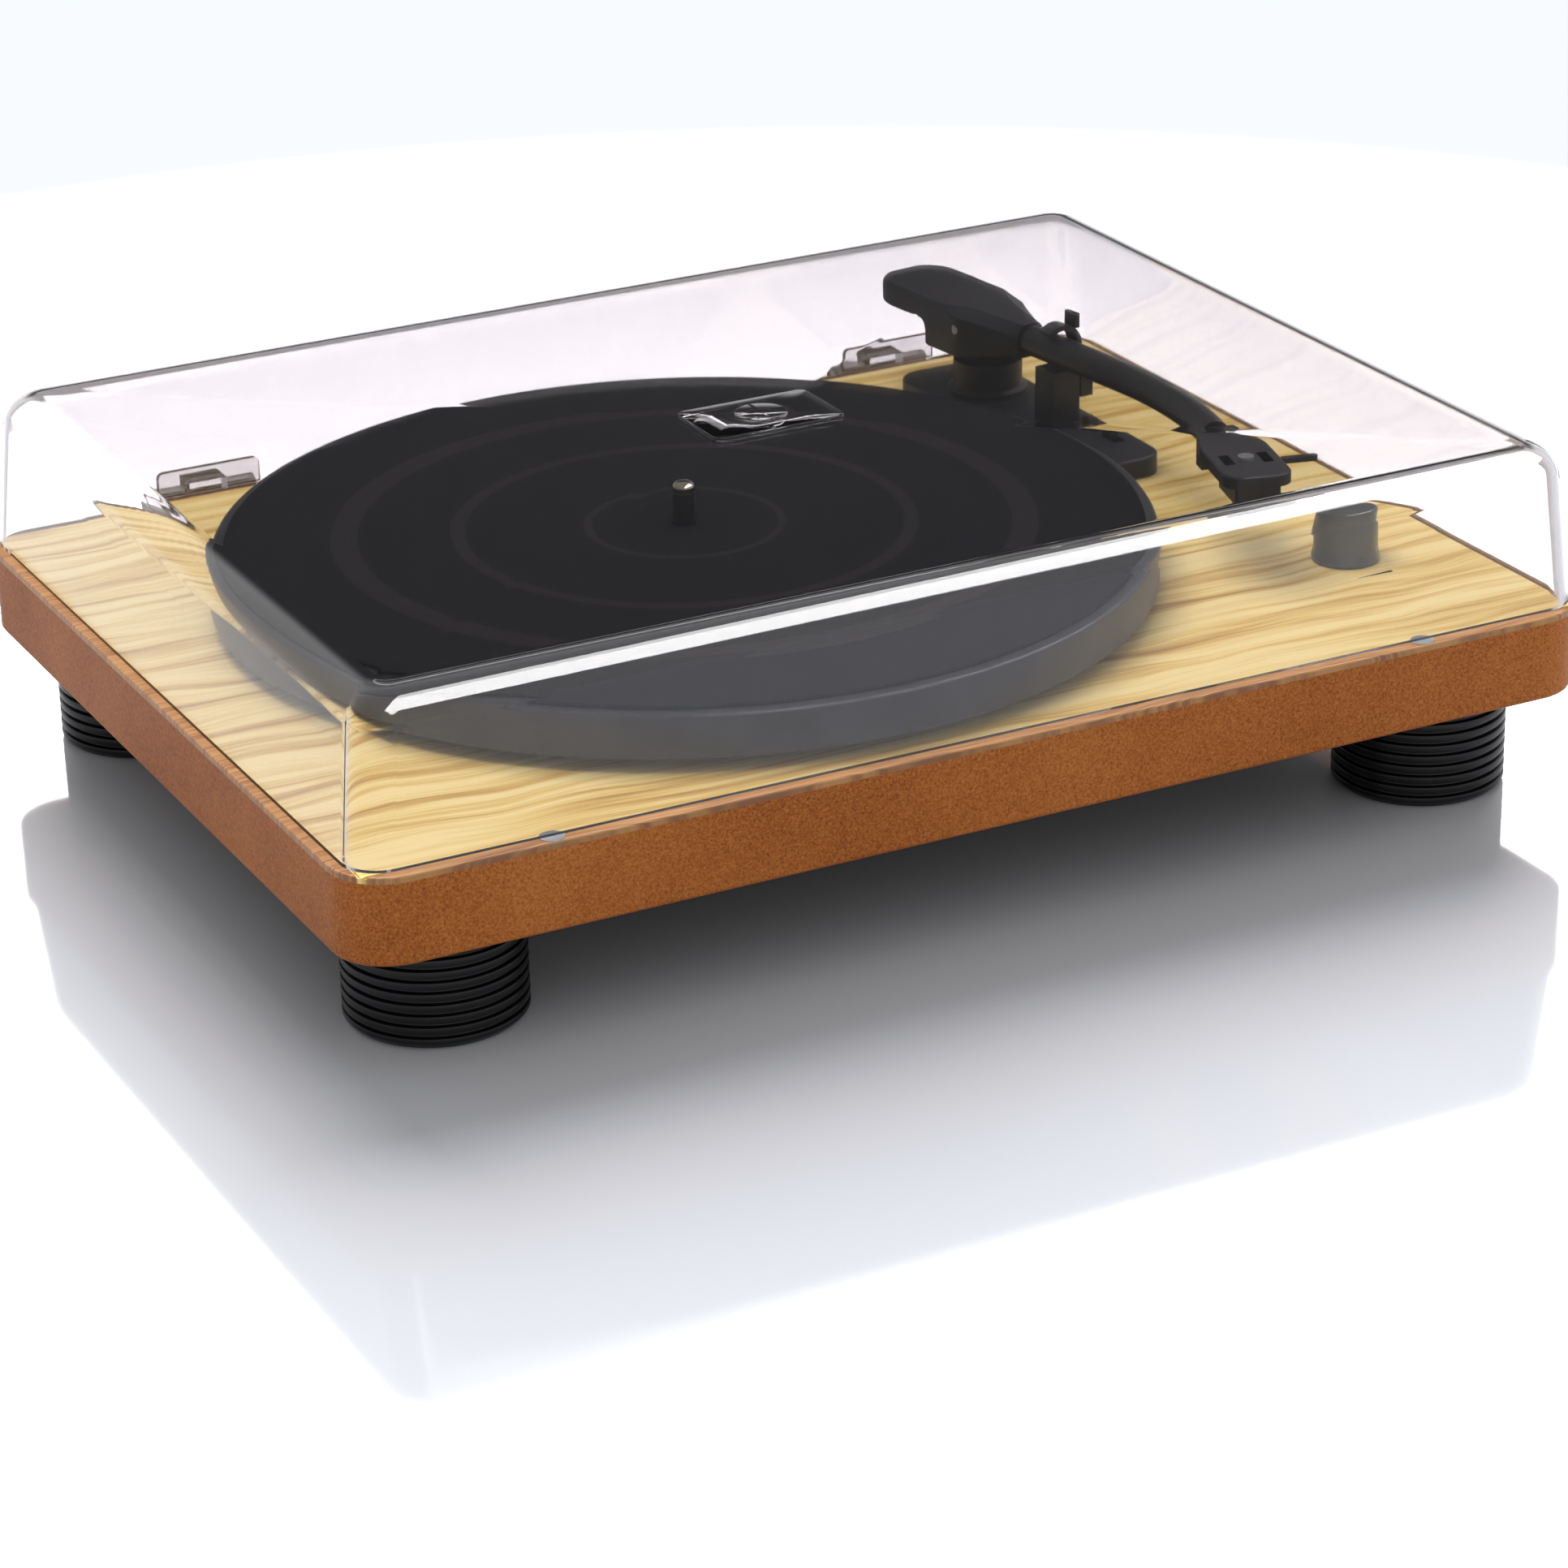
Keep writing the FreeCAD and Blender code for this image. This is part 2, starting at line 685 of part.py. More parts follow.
def beltLoop(big, small, reach):
    """Edges of an open belt round circles at x = 0 and x = reach.
    The tangent points lie at the angle whose cosine is (big - small) / reach."""
    lean = math.acos((big - small) / reach)
    spots = []
    for radius, centre in ((big, 0), (small, reach)):
        for sign in (1, -1):
            spots.append(Vector(centre + radius * math.cos(lean), sign * radius * math.sin(lean), 0))
    bigUp, bigDown, smallUp, smallDown = spots
    return [
        Part.Arc(bigUp, Vector(-big, 0, 0), bigDown).toShape(),
        Part.LineSegment(bigDown, smallDown).toShape(),
        Part.Arc(smallDown, Vector(reach + small, 0, 0), smallUp).toShape(),
        Part.LineSegment(smallUp, bigUp).toShape(),
    ]


# Tonearm ---------------------------------------------------------------------------------
def buildArmBase():
    base = body("tonearm_base", (0, 0, "plinthTop"))
    block(base, "baseRight - baseLeft", "baseRear - baseFront", "baseThickness",
          ("(baseRight + baseLeft) / 2", "(baseRear + baseFront) / 2", 0))
    disc(base, "platterRadius + basePlatterGap", "baseThickness + 2", ("platterX", 0, -1), cut=True)
    rounded(base, "baseCorner")
    rounded(base, "baseEdge", flatAt("baseThickness"))
    for lever in ("speedLeverY", "stopLeverY"):
        block(base, "leverWidth + 2 * leverGap", "leverLength + leverTravel + 2 * leverGap",
              "baseThickness + 2", ("leverX", f"{lever} - leverTravel / 2", -1), cut=True)
    turned("pivot_turret", [
        ("pivotBushRadius", "baseTop"), ("turretRadius + 2", "baseTop"),
        ("turretRadius + 2", "baseTop + 2"), ("turretRadius", "baseTop + 3"),
        ("turretRadius", "turretTop"), ("pivotBushRadius", "turretTop"),
    ], ("pivotX", "pivotY", 0))
    turned("pivot_bush", [
        ("pivotShaftRadius + runningFit", "baseTop"), ("pivotBushRadius", "baseTop"),
        ("pivotBushRadius", "turretTop"), ("pivotShaftRadius + runningFit", "turretTop"),
    ], ("pivotX", "pivotY", 0))


def armBody(label):
    """A body in the tonearm's own frame: pivot at x = y = 0, the arm runs towards -Y."""
    return body(label, ("pivotX", "pivotY", 0), (0, 0, 1), "armHeading")


def buildArm():
    yoke = armBody("pivot_yoke")
    disc(yoke, "yokeRadius", "yokePlate", (0, 0, "yokeBottom"))
    earBottom = "yokeBottom + yokePlate"
    for side in (-1, 1):
        block(yoke, "yokeEar", "yokeLength", f"armAxisZ + yokeTopGap - ({earBottom})",
              (f"{side} * (yokeWidth - yokeEar) / 2", 0, earBottom))
    disc(yoke, "yokeHoleRadius", "yokeWidth + 2", ("-yokeWidth / 2 - 1", 0, "armAxisZ"),
         cut=True, axis=(0, 1, 0), angle=90)
    disc(yoke, "pivotShaftRadius", "yokePlate + 2", (0, 0, "yokeBottom - 1"), cut=True)
    shaft = armBody("pivot_shaft")
    disc(shaft, "pivotShaftRadius", "yokeBottom + yokePlate - baseTop - bearingGap",
         (0, 0, "baseTop + bearingGap"))

    housing = armBody("arm_housing")
    slab = "housingTop - housingSlabBottom"
    block(housing, "housingWidth", "housingRear + housingFront", slab,
          (0, "(housingRear - housingFront) / 2", "housingSlabBottom"))
    rounded(housing, "housingWidth * 0.42",
            lambda e: upright(e) and e.BoundBox.YMin > size("housingRear") - 1)
    add(housing, "AdditiveWedge", {
        "Xmin": "-noseWidth / 2", "Xmax": "noseWidth / 2",
        "Zmin": "armAxisZ - armRadius - 1", "Zmax": "noseTop",
        "X2min": "-housingWidth / 2", "X2max": "housingWidth / 2",
        "Z2min": "skirtBottom", "Z2max": "housingTop",
        "Ymin": "-housingNose", "Ymax": "-housingFront",
    })
    dress(housing, "Chamfer", "Size", "housingEdge",
          lambda e: flatAt("housingTop")(e) and e.BoundBox.YMax > -size("housingFront") + 0.1)
    block(housing, "housingWidth", "skirtRear + housingFront", "housingSlabBottom - skirtBottom",
          (0, "(skirtRear - housingFront) / 2", "skirtBottom"))
    rounded(housing, "notchRadius",
            lambda e: flatAt("housingSlabBottom")(e) and abs(e.CenterOfMass.y - size("skirtRear")) < 0.01)
    roof = "armAxisZ + yokeTopGap + bearingGap * 3"
    block(housing, "yokeWidth + 2 * yokeSideGap", "2 * yokeRoom",
          f"{roof} - skirtBottom + 1", (0, 0, "skirtBottom - 1"), cut=True)
    disc(housing, "armRadius", "housingNose", (0, "1 - yokeRoom", "armAxisZ"),
         cut=True, axis=(1, 0, 0), angle=90)
    disc(housing, "yokeHoleRadius", "housingWidth + 2", ("-housingWidth / 2 - 1", 0, "armAxisZ"),
         cut=True, axis=(0, 1, 0), angle=90)
    weightY = "housingRear - housingWall * 2 - weightLength / 2"
    block(housing, "housingWidth - 4 * housingWall", "weightLength", "weightHeight",
          (0, weightY, "housingSlabBottom"), cut=True)
    weight = armBody("counterweight")
    block(weight, "housingWidth - 4 * housingWall", "weightLength", "weightHeight",
          (0, weightY, "housingSlabBottom"))

    screws = []
    for side in (-1, 1):
        item = armBody(f"pitch_screw_{'left' if side < 0 else 'right'}")
        inner = "yokeWidth / 2 - yokeEar"
        disc(item, "yokeHoleRadius - runningFit", "yokeEar + 0.6",
             (f"{side} * ({inner})", 0, "armAxisZ"), axis=(0, 1, 0), angle=90 * side)
        disc(item, "yokeHoleRadius", "housingWall",
             (f"{side} * (housingWidth / 2 - housingWall)", 0, "armAxisZ"), axis=(0, 1, 0), angle=90 * side)
        disc(item, "yokeHoleRadius - runningFit", "housingWidth / 2 - housingWall / 2 - yokeWidth / 2",
             (f"{side} * yokeWidth / 2", 0, "armAxisZ"), axis=(0, 1, 0), angle=90 * side)
        screws.append(item)
        nodes.remove(item)
    group("pitch_screws", screws)

    tube = armBody("arm_tube")
    start = "yokeRoom + bearingGap"
    disc(tube, "armRadius", f"armStraight - ({start})", (0, f"-({start})", "armAxisZ"),
         axis=(1, 0, 0), angle=90)
    # The bend is a stretch of torus whose centre lies beside the end of the straight.
    add(tube, "AdditiveTorus", {"Radius1": "armBendRadius", "Radius2": "armRadius", "Angle3": "armBend"},
        ("-armBendRadius", "-armStraight", "armAxisZ"), axis=(0, 0, 1), angle="-armBend")
    disc(tube, "armRadius", "armNose", (0, 0, 0))
    end = tube.Tip
    end.Placement = FreeCAD.Placement(Vector(), Rotation(Vector(0, 0, 1), -size("armBend")).multiply(
        Rotation(Vector(1, 0, 0), 90)))
    for letter, rule in zip("xyz", ("bendEndX", "bendEndY", "armAxisZ")):
        end.setExpression("Placement.Base." + letter, ruled(rule))
    doc.recompute()


def shellBody(label):
    """A body in the headshell's own frame: neck at x = y = 0, nose towards -Y."""
    return body(label, ("shellWorldX", "shellWorldY", 0), (0, 0, 1), "shellTurn")


def buildHeadshell():
    shell = shellBody("headshell")
    pad(shell, [
        ("-shellNeck / 2", 0), ("-shellWidth / 2", "-neckLength"), ("-shellWidth / 2", "-shellLength"),
        ("shellWidth / 2", "-shellLength"), ("shellWidth / 2", "-neckLength"), ("shellNeck / 2", 0),
    ], "shellThickness", (0, 0, "shellBottom"))
    rounded(shell, "shellCorner", lambda e: upright(e) and e.BoundBox.YMax < -size("neckLength") - 1)
    block(shell, "shellNeck", "collarLength", "shellBottom - armAxisZ + collarDrop",
          (0, "-collarLength / 2", "armAxisZ - collarDrop"))
    rounded(shell, "shellEdge", flatAt("shellTop"))
    mid = "-fixingReach"
    for side in (-1, 1):
        block(shell, "slotWidth", "slotLength", "shellThickness + 2",
              (f"{side} * slotPitch / 2", mid, "shellBottom - 1"), cut=True)
    disc(shell, "shellScrewRadius", "shellThickness + 2", (0, mid, "shellBottom - 1"), cut=True)

    fixing = shellBody("headshell_screw")
    disc(fixing, "shellScrewRadius", "shellThickness", (0, mid, "shellBottom"))
    disc(fixing, "shellScrewRadius * 2", 1, (0, mid, "shellTop"))

    finger = shellBody("finger_lift")
    block(finger, "fingerLength", "fingerWidth", "fingerThickness",
          ("(shellWidth + fingerLength) / 2", "-fingerReach", "shellTop - fingerThickness - fingerInset"))
    rounded(finger, "fingerWidth * 0.4", upright)

    cartridge = shellBody("cartridge")
    top = "shellBottom"
    cartY = "-shellLength + cartridgeLength / 2 + cartridgeInset"
    block(cartridge, "cartridgeWidth", "cartridgeLength", "cartridgeHeight",
          (0, cartY, f"{top} - cartridgeHeight"))
    rounded(cartridge, "cartridgeEdge", upright)
    holder = shellBody("stylus_holder")
    block(holder, "stylusWidth", "stylusLength", "stylusHeight",
          (0, f"{cartY} - 2", f"{top} - cartridgeHeight - stylusHeight"))
    dress(holder, "Chamfer", "Size", "stylusHeight * 0.7",
          lambda e: flatAt("shellBottom - cartridgeHeight - stylusHeight")(e)
          and e.BoundBox.YLength < 0.1)
    point = shellBody("cantilever")
    tipZ = f"{top} - cartridgeHeight - stylusHeight"
    block(point, "cantileverRadius * 2", "cantileverLength", "cantileverRadius * 2",
          (0, f"{cartY} - 2", f"{tipZ} - cantileverRadius * 2"))
    add(point, "AdditiveCone", {"Radius1": 0.08, "Radius2": "cantileverRadius",
                                "Height": "tipDrop - cantileverRadius"},
        (0, f"{cartY} - 2 - cantileverLength / 2 + cantileverRadius", f"{tipZ} - tipDrop"))


def restBody(label):
    """A body in the arm rest's own frame, in line with the arm above it."""
    return body(label, ("restX", "restY", 0), (0, 0, 1), "armHeading")


def buildRest():
    pinX = "armRadius + clipGap + clipWall + 1.2"
    pinZ = "armAxisZ - 4.5"
    depth = "clipDepth + 2 * hingeSideGap + 4"
    eye = "(clipPinRadius + 1.2)"
    rest = restBody("arm_rest")
    block(rest, "restWidth", depth, "restTop - baseTop", (0, 0, "baseTop"))
    block(rest, f"2 * ({eye})", depth, f"{pinZ} + {eye} - baseTop - 8", (pinX, 0, "baseTop + 8"))
    block(rest, f"2 * ({eye}) + 1", "clipDepth + 2 * hingeSideGap", 20,
          (f"{pinX} + 0.5 - hingeSideGap * 0.2", 0, f"{pinZ} - {eye} - hingeSideGap"), cut=True)
    disc(rest, "clipPinRadius", f"{depth} + 2", (pinX, f"({depth}) / 2 + 1", pinZ), cut=True,
         axis=(1, 0, 0), angle=90)
    pin = restBody("clip_pin")
    disc(pin, "clipPinRadius", depth, (pinX, f"({depth}) / 2", pinZ), axis=(1, 0, 0), angle=90)

    clip = restBody("arm_clip")
    hoopZ = "armAxisZ + 1.5"
    inner = "armRadius + clipGap + 0.5"
    hoop = disc(clip, f"{inner} + clipWall", "clipDepth", (0, "clipDepth / 2", hoopZ),
                axis=(1, 0, 0), angle=90)
    hoop.setExpression("Angle", "135")
    doc.recompute()
    block(clip, "clipWall", "clipDepth", f"{hoopZ} - ({pinZ}) + 0.5",
          (f"{inner} + clipWall / 2", 0, pinZ))
    disc(clip, eye, "clipDepth", (pinX, "clipDepth / 2", pinZ), axis=(1, 0, 0), angle=90)
    block(clip, "clipWall", "clipDepth", "clipTab", (f"{inner} * 0.72", 0, f"{hoopZ} + {inner} * 0.72"))
    disc(clip, inner, "clipDepth + 2", (0, "clipDepth / 2 + 1", hoopZ), cut=True, axis=(1, 0, 0), angle=90)
    disc(clip, "clipPinRadius + runningFit", "clipDepth + 2", (pinX, "clipDepth / 2 + 1", pinZ),
         cut=True, axis=(1, 0, 0), angle=90)


# Controls ----------------------------------------------------------------------------------
def buildControls():
    switches = []
    for label, lever in (("speed_lever", "speedLeverY"), ("auto_stop_lever", "stopLeverY")):
        item = body(label, ("leverX", lever, "ceiling - leverPlate + 1"))
        block(item, "leverWidth", "leverLength",
              "baseTop + leverHeight - ceiling + leverPlate - 1")
        rounded(item, "leverEdge", lambda e: e.BoundBox.ZMin > size("leverHeight + baseThickness"))
        case = doc.addObject("Part::Box", label + "_Case")
        case.setExpression("Length", ruled("leverWidth + 2 * caseMargin"))
        case.setExpression("Width", ruled("leverLength + leverTravel + 2 * caseMargin"))
        case.setExpression("Height", ruled("caseHeight"))
        for letter, rule in zip("xyz", ("leverX - leverWidth / 2 - caseMargin",
                                        f"plinthY + {lever} - leverLength / 2 - leverTravel - caseMargin",
                                        "ceiling - leverPlate - caseHeight")):
            case.setExpression("Placement.Base." + letter, ruled(rule))
        switches.append(case)
    group("lever_switches", switches)

    turned("volume_knob", [
        ("knobShaftRadius", 0), ("knobFoot", 0), ("knobFoot", 1), ("knobRadius", 3.5),
        ("knobRadius - 0.3", "knobHeight - knobEdge"), ("knobRadius - 0.3 - knobEdge", "knobHeight"),
        (0, "knobHeight"), (0, "knobHeight - 3"), ("knobShaftRadius", "knobHeight - 3"),
    ], ("knobX", "knobY", "plinthTop + knobGap"))
    turned("knob_shaft", [
        (0, "ceiling - potHeight + 1.5"), ("knobShaftRadius", "ceiling - potHeight + 1.5"),
        ("knobShaftRadius", "plinthTop + knobGap + knobHeight - 3"),
        (0, "plinthTop + knobGap + knobHeight - 3"),
    ], ("knobX", "knobY", 0))
    pot = body("volume_control", ("knobX", "knobY", "ceiling - potHeight"))
    block(pot, "potSize", "potSize", "potHeight")
    disc(pot, "knobShaftRadius + runningFit", "potHeight", (0, 0, 1.2), cut=True)

    board = body("circuit_board", ("boardX", "boardY", "cavityFloor + postHeight"))
    block(board, "boardLength", "boardDepth", "boardThickness")
    posts = []
    for sideX in (-1, 1):
        for sideY in (-1, 1):
            posts.append(rod(f"Post{len(posts)}", "postRadius", "postHeight",
                             (f"boardX + {sideX} * (boardLength / 2 - 5)",
                              f"boardY + {sideY} * (boardDepth / 2 - 5)", "cavityFloor")))
    group("board_posts", posts)


# Rear panel -----------------------------------------------------------------------------------
def buildRear():
    midZ = "footHeight + frameHeight / 2"
    face = "plinthDepth / 2"
    rcaX = [f"rearX - rearLength * 0.36 + {i} * rcaPitch" for i in range(2)]
    dcX = "rearX + rearLength * 0.05"
    switchX = "rearX + rearLength * 0.33"
    panel = body("rear_panel", (0, f"{face} - rearThickness", midZ))
    block(panel, "rearLength - 2 * boardClearance", "rearThickness", "rearHeight - 2 * boardClearance",
          ("rearX", "rearThickness / 2", "boardClearance - rearHeight / 2"))
    for x in rcaX:
        disc(panel, "rcaHoleRadius", "rearThickness + 2", (x, -1, 0), cut=True, axis=(1, 0, 0), angle=-90)
    disc(panel, "dcRadius", "rearThickness + 2", (dcX, -1, 0), cut=True, axis=(1, 0, 0), angle=-90)
    block(panel, "switchLength", "rearThickness + 2", "switchHeight",
          (switchX, "rearThickness / 2", "-switchHeight / 2"), cut=True)
    for name, x in zip(("rca_socket_left", "rca_socket_right"), rcaX):
        turned(name, [
            (0, "-socketDepth"), ("rcaRadius", "-socketDepth"), ("rcaRadius", "rcaReach"),
            ("rcaBore", "rcaReach"), ("rcaBore", "rcaReach - 9"), (0, "rcaReach - 9"),
        ], (x, face, midZ), axis=(1, 0, 0), angle=-90)
    turned("dc_socket", [
        (0, "-socketDepth"), ("dcRadius", "-socketDepth"), ("dcRadius", 0), ("dcBore", 0),
        ("dcBore", -9), (1, -9), (1, -1), (0, -1),
    ], (dcX, face, midZ), axis=(1, 0, 0), angle=-90)
    case = body("power_switch", (switchX, face, midZ))
    block(case, "switchLength", "switchDepth", "switchHeight", (0, "-switchDepth / 2", "-switchHeight / 2"))
    block(case, "rockerLength + 2 * rockerGap", "switchDepth - 2", "rockerHeight + 2 * rockerGap",
          (0, "-(switchDepth - 2) / 2", "-rockerHeight / 2 - rockerGap"), cut=True)
    rocker = body("power_rocker", (switchX, f"{face} - rockerSink", midZ), (0, 0, 1), "rockerTilt")
    block(rocker, "rockerLength", "rockerThickness", "rockerHeight", (0, "rockerSet", "-rockerHeight / 2"))


# Speakers ---------------------------------------------------------------------------------------
def buildSpeakers():
    magnets = []
    cones = []
    for hand, side in (("left", -1), ("right", 1)):
        at = (f"{side} * speakerX", "speakerY", "cavityFloor")
        turned("speaker_frame_" + hand, [
            ("coneRadius", 0), ("speakerRadius", 0), ("speakerRadius", 2), ("coneRadius + 1.5", 2),
            ("magnetRadius", "speakerHeight"), ("magnetRadius / 2", "speakerHeight"),
            ("magnetRadius / 2", "speakerHeight - 1.5"), ("magnetRadius - 1", "speakerHeight - 1.5"),
            ("coneRadius", 1.6),
        ], at)
        cone = turned("Cone_" + hand, [
            (0, "speakerHeight - 4"), ("magnetRadius / 2", "speakerHeight - 4"),
            ("coneRadius - 1.4", 0.6), ("coneRadius - 0.4", 0.6), ("coneRadius - 0.4", 1.4),
            ("coneRadius - 1.2", 1.4), ("magnetRadius / 2", "speakerHeight - 3.1"),
            (0, "speakerHeight - 3.1"),
        ], at)
        nodes.remove(cone)
        cones.append(cone)
        magnets.append(rod("Magnet_" + hand, "magnetRadius", "magnetHeight",
                           (at[0], at[1], "cavityFloor + speakerHeight")))
    group("speaker_cones", cones)
    group("speaker_magnets", magnets)


# Dust cover and hinges -----------------------------------------------------------------------------
def coverForm(label, wall, overrun):
    """The cover's tapered form, drawn in by a wall all round and run on below its mouth."""
    form = body(label, (0, 0, f"coverBottom - {overrun}"))
    add(form, "AdditiveWedge", {
        "Xmin": f"{wall} - coverHalfX", "Xmax": f"coverHalfX - {wall}",
        "Zmin": f"{wall} - coverHalfY", "Zmax": f"coverHalfY - {wall}",
        "X2min": f"{wall} + coverDraft - coverHalfX", "X2max": f"coverHalfX - coverDraft - {wall}",
        "Z2min": f"{wall} + coverDraftY - coverHalfY", "Z2max": f"coverHalfY - coverDraftY - {wall}",
        "Ymin": 0, "Ymax": f"coverHeight - {wall} + {overrun}",
    }, axis=(1, 0, 0), angle=90)
    rounded(form, f"coverCorner - {wall}", lambda e: e.BoundBox.ZLength > size("coverHeight") - 4)
    rounded(form, f"coverTopRadius - {wall}", flatAt(f"coverHeight - {wall} + {overrun}"))
    return form


def buildCover():
    outer = coverForm("CoverOutside", 0, 0)
    block(outer, "gatePlateLength", "gatePlateWidth", "gatePlateHeight + 0.5",
          (0, 0, "coverHeight - 0.5"))
    disc(outer, "gateBossRadius", "gatePlateHeight + gateBossHeight + 0.5", (0, 0, "coverHeight - 0.5"))
    inner = coverForm("CoverInside", "coverWall", 1)
    nodes.remove(outer)
    nodes.remove(inner)
    cover = doc.addObject("Part::Cut", "dust_cover")
    cover.Base = outer
    cover.Tool = inner
    nodes.append(cover)

    bumpers = []
    for side in (-1, 1):
        bumpers.append(rod(f"Bumper{side + 1}", "bumperRadius",
                           "bumperSink + coverGap - bumperGap",
                           (f"{side} * (coverHalfX - bumperInset)", "-coverHalfY + coverWall / 2",
                            "plinthTop - bumperSink")))
    group("cover_bumpers", bumpers)

    knuckleGap = "hingeSideGap"
    middle = f"hingeLength - 2 * hingeKnuckle - 2 * {knuckleGap}"
    plateTop = "-hingeBarrel - 0.5"
    knuckleX = "(hingeLength - hingeKnuckle) / 2"
    pins = []
    for hand, side in (("left", -1), ("right", 1)):
        at = (f"{side} * hingeX", "hingeY", "hingeAxisZ")
        bracket = body("hinge_bracket_" + hand, at)
        block(bracket, "hingeLength", "hingePlate", f"hingeDrop {plateTop}",
              (0, "hingePlate / 2 - hingeAxisGap", "-hingeDrop"))
        for end in (-1, 1):
            x = f"{end} * {knuckleX}"
            block(bracket, "hingeKnuckle", "hingeAxisGap", "hingeBarrel + 2.5",
                  (x, "-hingeAxisGap / 2", "-hingeBarrel - 2.5"))
            disc(bracket, "hingeBarrel", "hingeKnuckle", (f"{x} - hingeKnuckle / 2", 0, 0),
                 axis=(0, 1, 0), angle=90)
        disc(bracket, "hingePin", "hingeLength + 2", ("-hingeLength / 2 - 1", 0, 0),
             cut=True, axis=(0, 1, 0), angle=90)
        leaf = body("hinge_leaf_" + hand, at)
        reach = "hingeAxisGap + coverInsetY"
        rise = "coverBottom - hingeAxisZ"
        disc(leaf, "hingeBarrel", middle, (f"-({middle}) / 2", 0, 0), axis=(0, 1, 0), angle=90)
        block(leaf, middle, "hingeBarrel", f"{rise} + 3.5", (0, "hingeBarrel / 2 - 1", 0))
        block(leaf, middle, f"{reach} + 1.5 - boardClearance / 4", 3,
              (0, f"(1.5 + boardClearance / 4 - ({reach})) / 2", f"{rise} + 0.5"))
        block(leaf, "hingeLength", "hingePlate", "hingeRise",
              (0, f"hingePlate / 2 - ({reach}) + boardClearance / 4", f"{rise} + 0.5"))
        rounded(leaf, 2, lambda e: e.BoundBox.ZMin > size(f"{rise} + hingeRise") and e.BoundBox.XLength < 0.1)
        disc(leaf, "hingePin + runningFit", "hingeLength", ("-hingeLength / 2", 0, 0),
             cut=True, axis=(0, 1, 0), angle=90)
        pins.append(rod("HingePin_" + hand, "hingePin", "hingeLength",
                        (f"{side} * hingeX - hingeLength / 2", "hingeY", "hingeAxisZ"),
                        axis=(0, 1, 0), angle=90))
    group("hinge_pins", pins)


def checkAndExport():
    """Stop on any failed object, then write each piece to its own file."""
    doc.recompute()
    for item in doc.Objects:
        if "Invalid" in item.State or "Error" in item.State:
            raise ValueError(f"{item.Name} failed: {item.State}")
    os.makedirs("parts", exist_ok=True)
    for node in nodes:
        shape = node.Shape
        if shape.isNull() or not shape.isValid():
            raise ValueError(f"{node.Label} has no sound shape")
        shape.exportStep(f"parts/{node.Label}.step")
    print(f"{len(nodes)} pieces")


buildPlinth()
buildFeet()
buildPlatter()
buildMotor()
buildArmBase()
buildArm()
buildHeadshell()
buildRest()
buildControls()
buildRear()
buildSpeakers()
buildCover()
checkAndExport()
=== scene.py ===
# Record player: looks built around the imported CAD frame. Metres, +Z up, front at -Y.
import json
import math
import bmesh
import bpy
import numpy as np
from mathutils import Matrix, Vector


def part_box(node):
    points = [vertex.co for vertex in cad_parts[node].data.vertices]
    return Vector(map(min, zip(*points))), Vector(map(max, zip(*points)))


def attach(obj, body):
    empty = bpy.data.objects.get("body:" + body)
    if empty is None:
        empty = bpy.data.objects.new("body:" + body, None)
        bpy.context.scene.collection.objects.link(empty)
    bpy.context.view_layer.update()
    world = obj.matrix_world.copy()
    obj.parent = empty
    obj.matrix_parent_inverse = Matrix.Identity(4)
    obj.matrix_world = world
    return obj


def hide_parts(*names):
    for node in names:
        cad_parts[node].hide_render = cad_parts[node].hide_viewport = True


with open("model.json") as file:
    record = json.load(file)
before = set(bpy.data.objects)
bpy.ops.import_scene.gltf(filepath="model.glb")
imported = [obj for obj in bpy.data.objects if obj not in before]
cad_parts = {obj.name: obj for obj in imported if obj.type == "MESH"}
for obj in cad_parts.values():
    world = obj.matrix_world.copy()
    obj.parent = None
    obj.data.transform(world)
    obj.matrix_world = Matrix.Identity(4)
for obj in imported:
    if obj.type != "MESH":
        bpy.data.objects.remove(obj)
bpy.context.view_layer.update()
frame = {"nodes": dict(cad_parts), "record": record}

mm = 0.001


def corner(name):
    # The low and high corners of a CAD node's box.
    low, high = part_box(name)
    return np.array(low), np.array(high)


def middle(name):
    low, high = corner(name)
    return (low + high) / 2


def hexColour(text):
    # sRGB hex to linear: each channel c becomes ((c + 0.055) / 1.055) to the power 2.4.
    channels = [int(text[i:i + 2], 16) / 255 for i in (0, 2, 4)]
    linear = [c / 12.92 if c <= 0.04045 else ((c + 0.055) / 1.055) ** 2.4 for c in channels]
    return (*linear, 1.0)


def addNode(tree, kind, settings=None, **links):
    # One node with its settings; each further keyword is an input, given a value or a link.
    item = tree.nodes.new("ShaderNode" + kind)
    for key, value in (settings or {}).items():
        setattr(item, key, value)
    for key, value in links.items():
        name = key.replace("_", " ")
        target = item.inputs[int(key[1:])] if key[0] == "i" and key[1:].isdigit() else item.inputs[name]
        if isinstance(value, bpy.types.NodeSocket):
            tree.links.new(value, target)
        else:
            target.default_value = value
    return item


def newMaterial(name, **values):
    # A material with one Principled shader; keyword values go on its own sockets.
    made = bpy.data.materials.new(name)
    made.use_nodes = True
    tree = made.node_tree
    shader = tree.nodes["Principled BSDF"]
    for key, value in values.items():
        shader.inputs[key.replace("_", " ")].default_value = value
    return made, tree, shader


def place(tree, scale=(1, 1, 1), shift=(0, 0, 0)):
    # Object coordinates times scale plus shift, through a Mapping node.
    spot = addNode(tree, "TexCoord").outputs["Object"]
    return addNode(tree, "Mapping", Vector=spot, Scale=scale, Location=shift).outputs[0]


def noise(tree, spot, scale=1.0, detail=2.0, rough=0.5):
    # A fractal noise over the given coordinates, of this many features per metre.
    return addNode(tree, "TexNoise", Vector=spot, Scale=scale, Detail=detail, Roughness=rough)


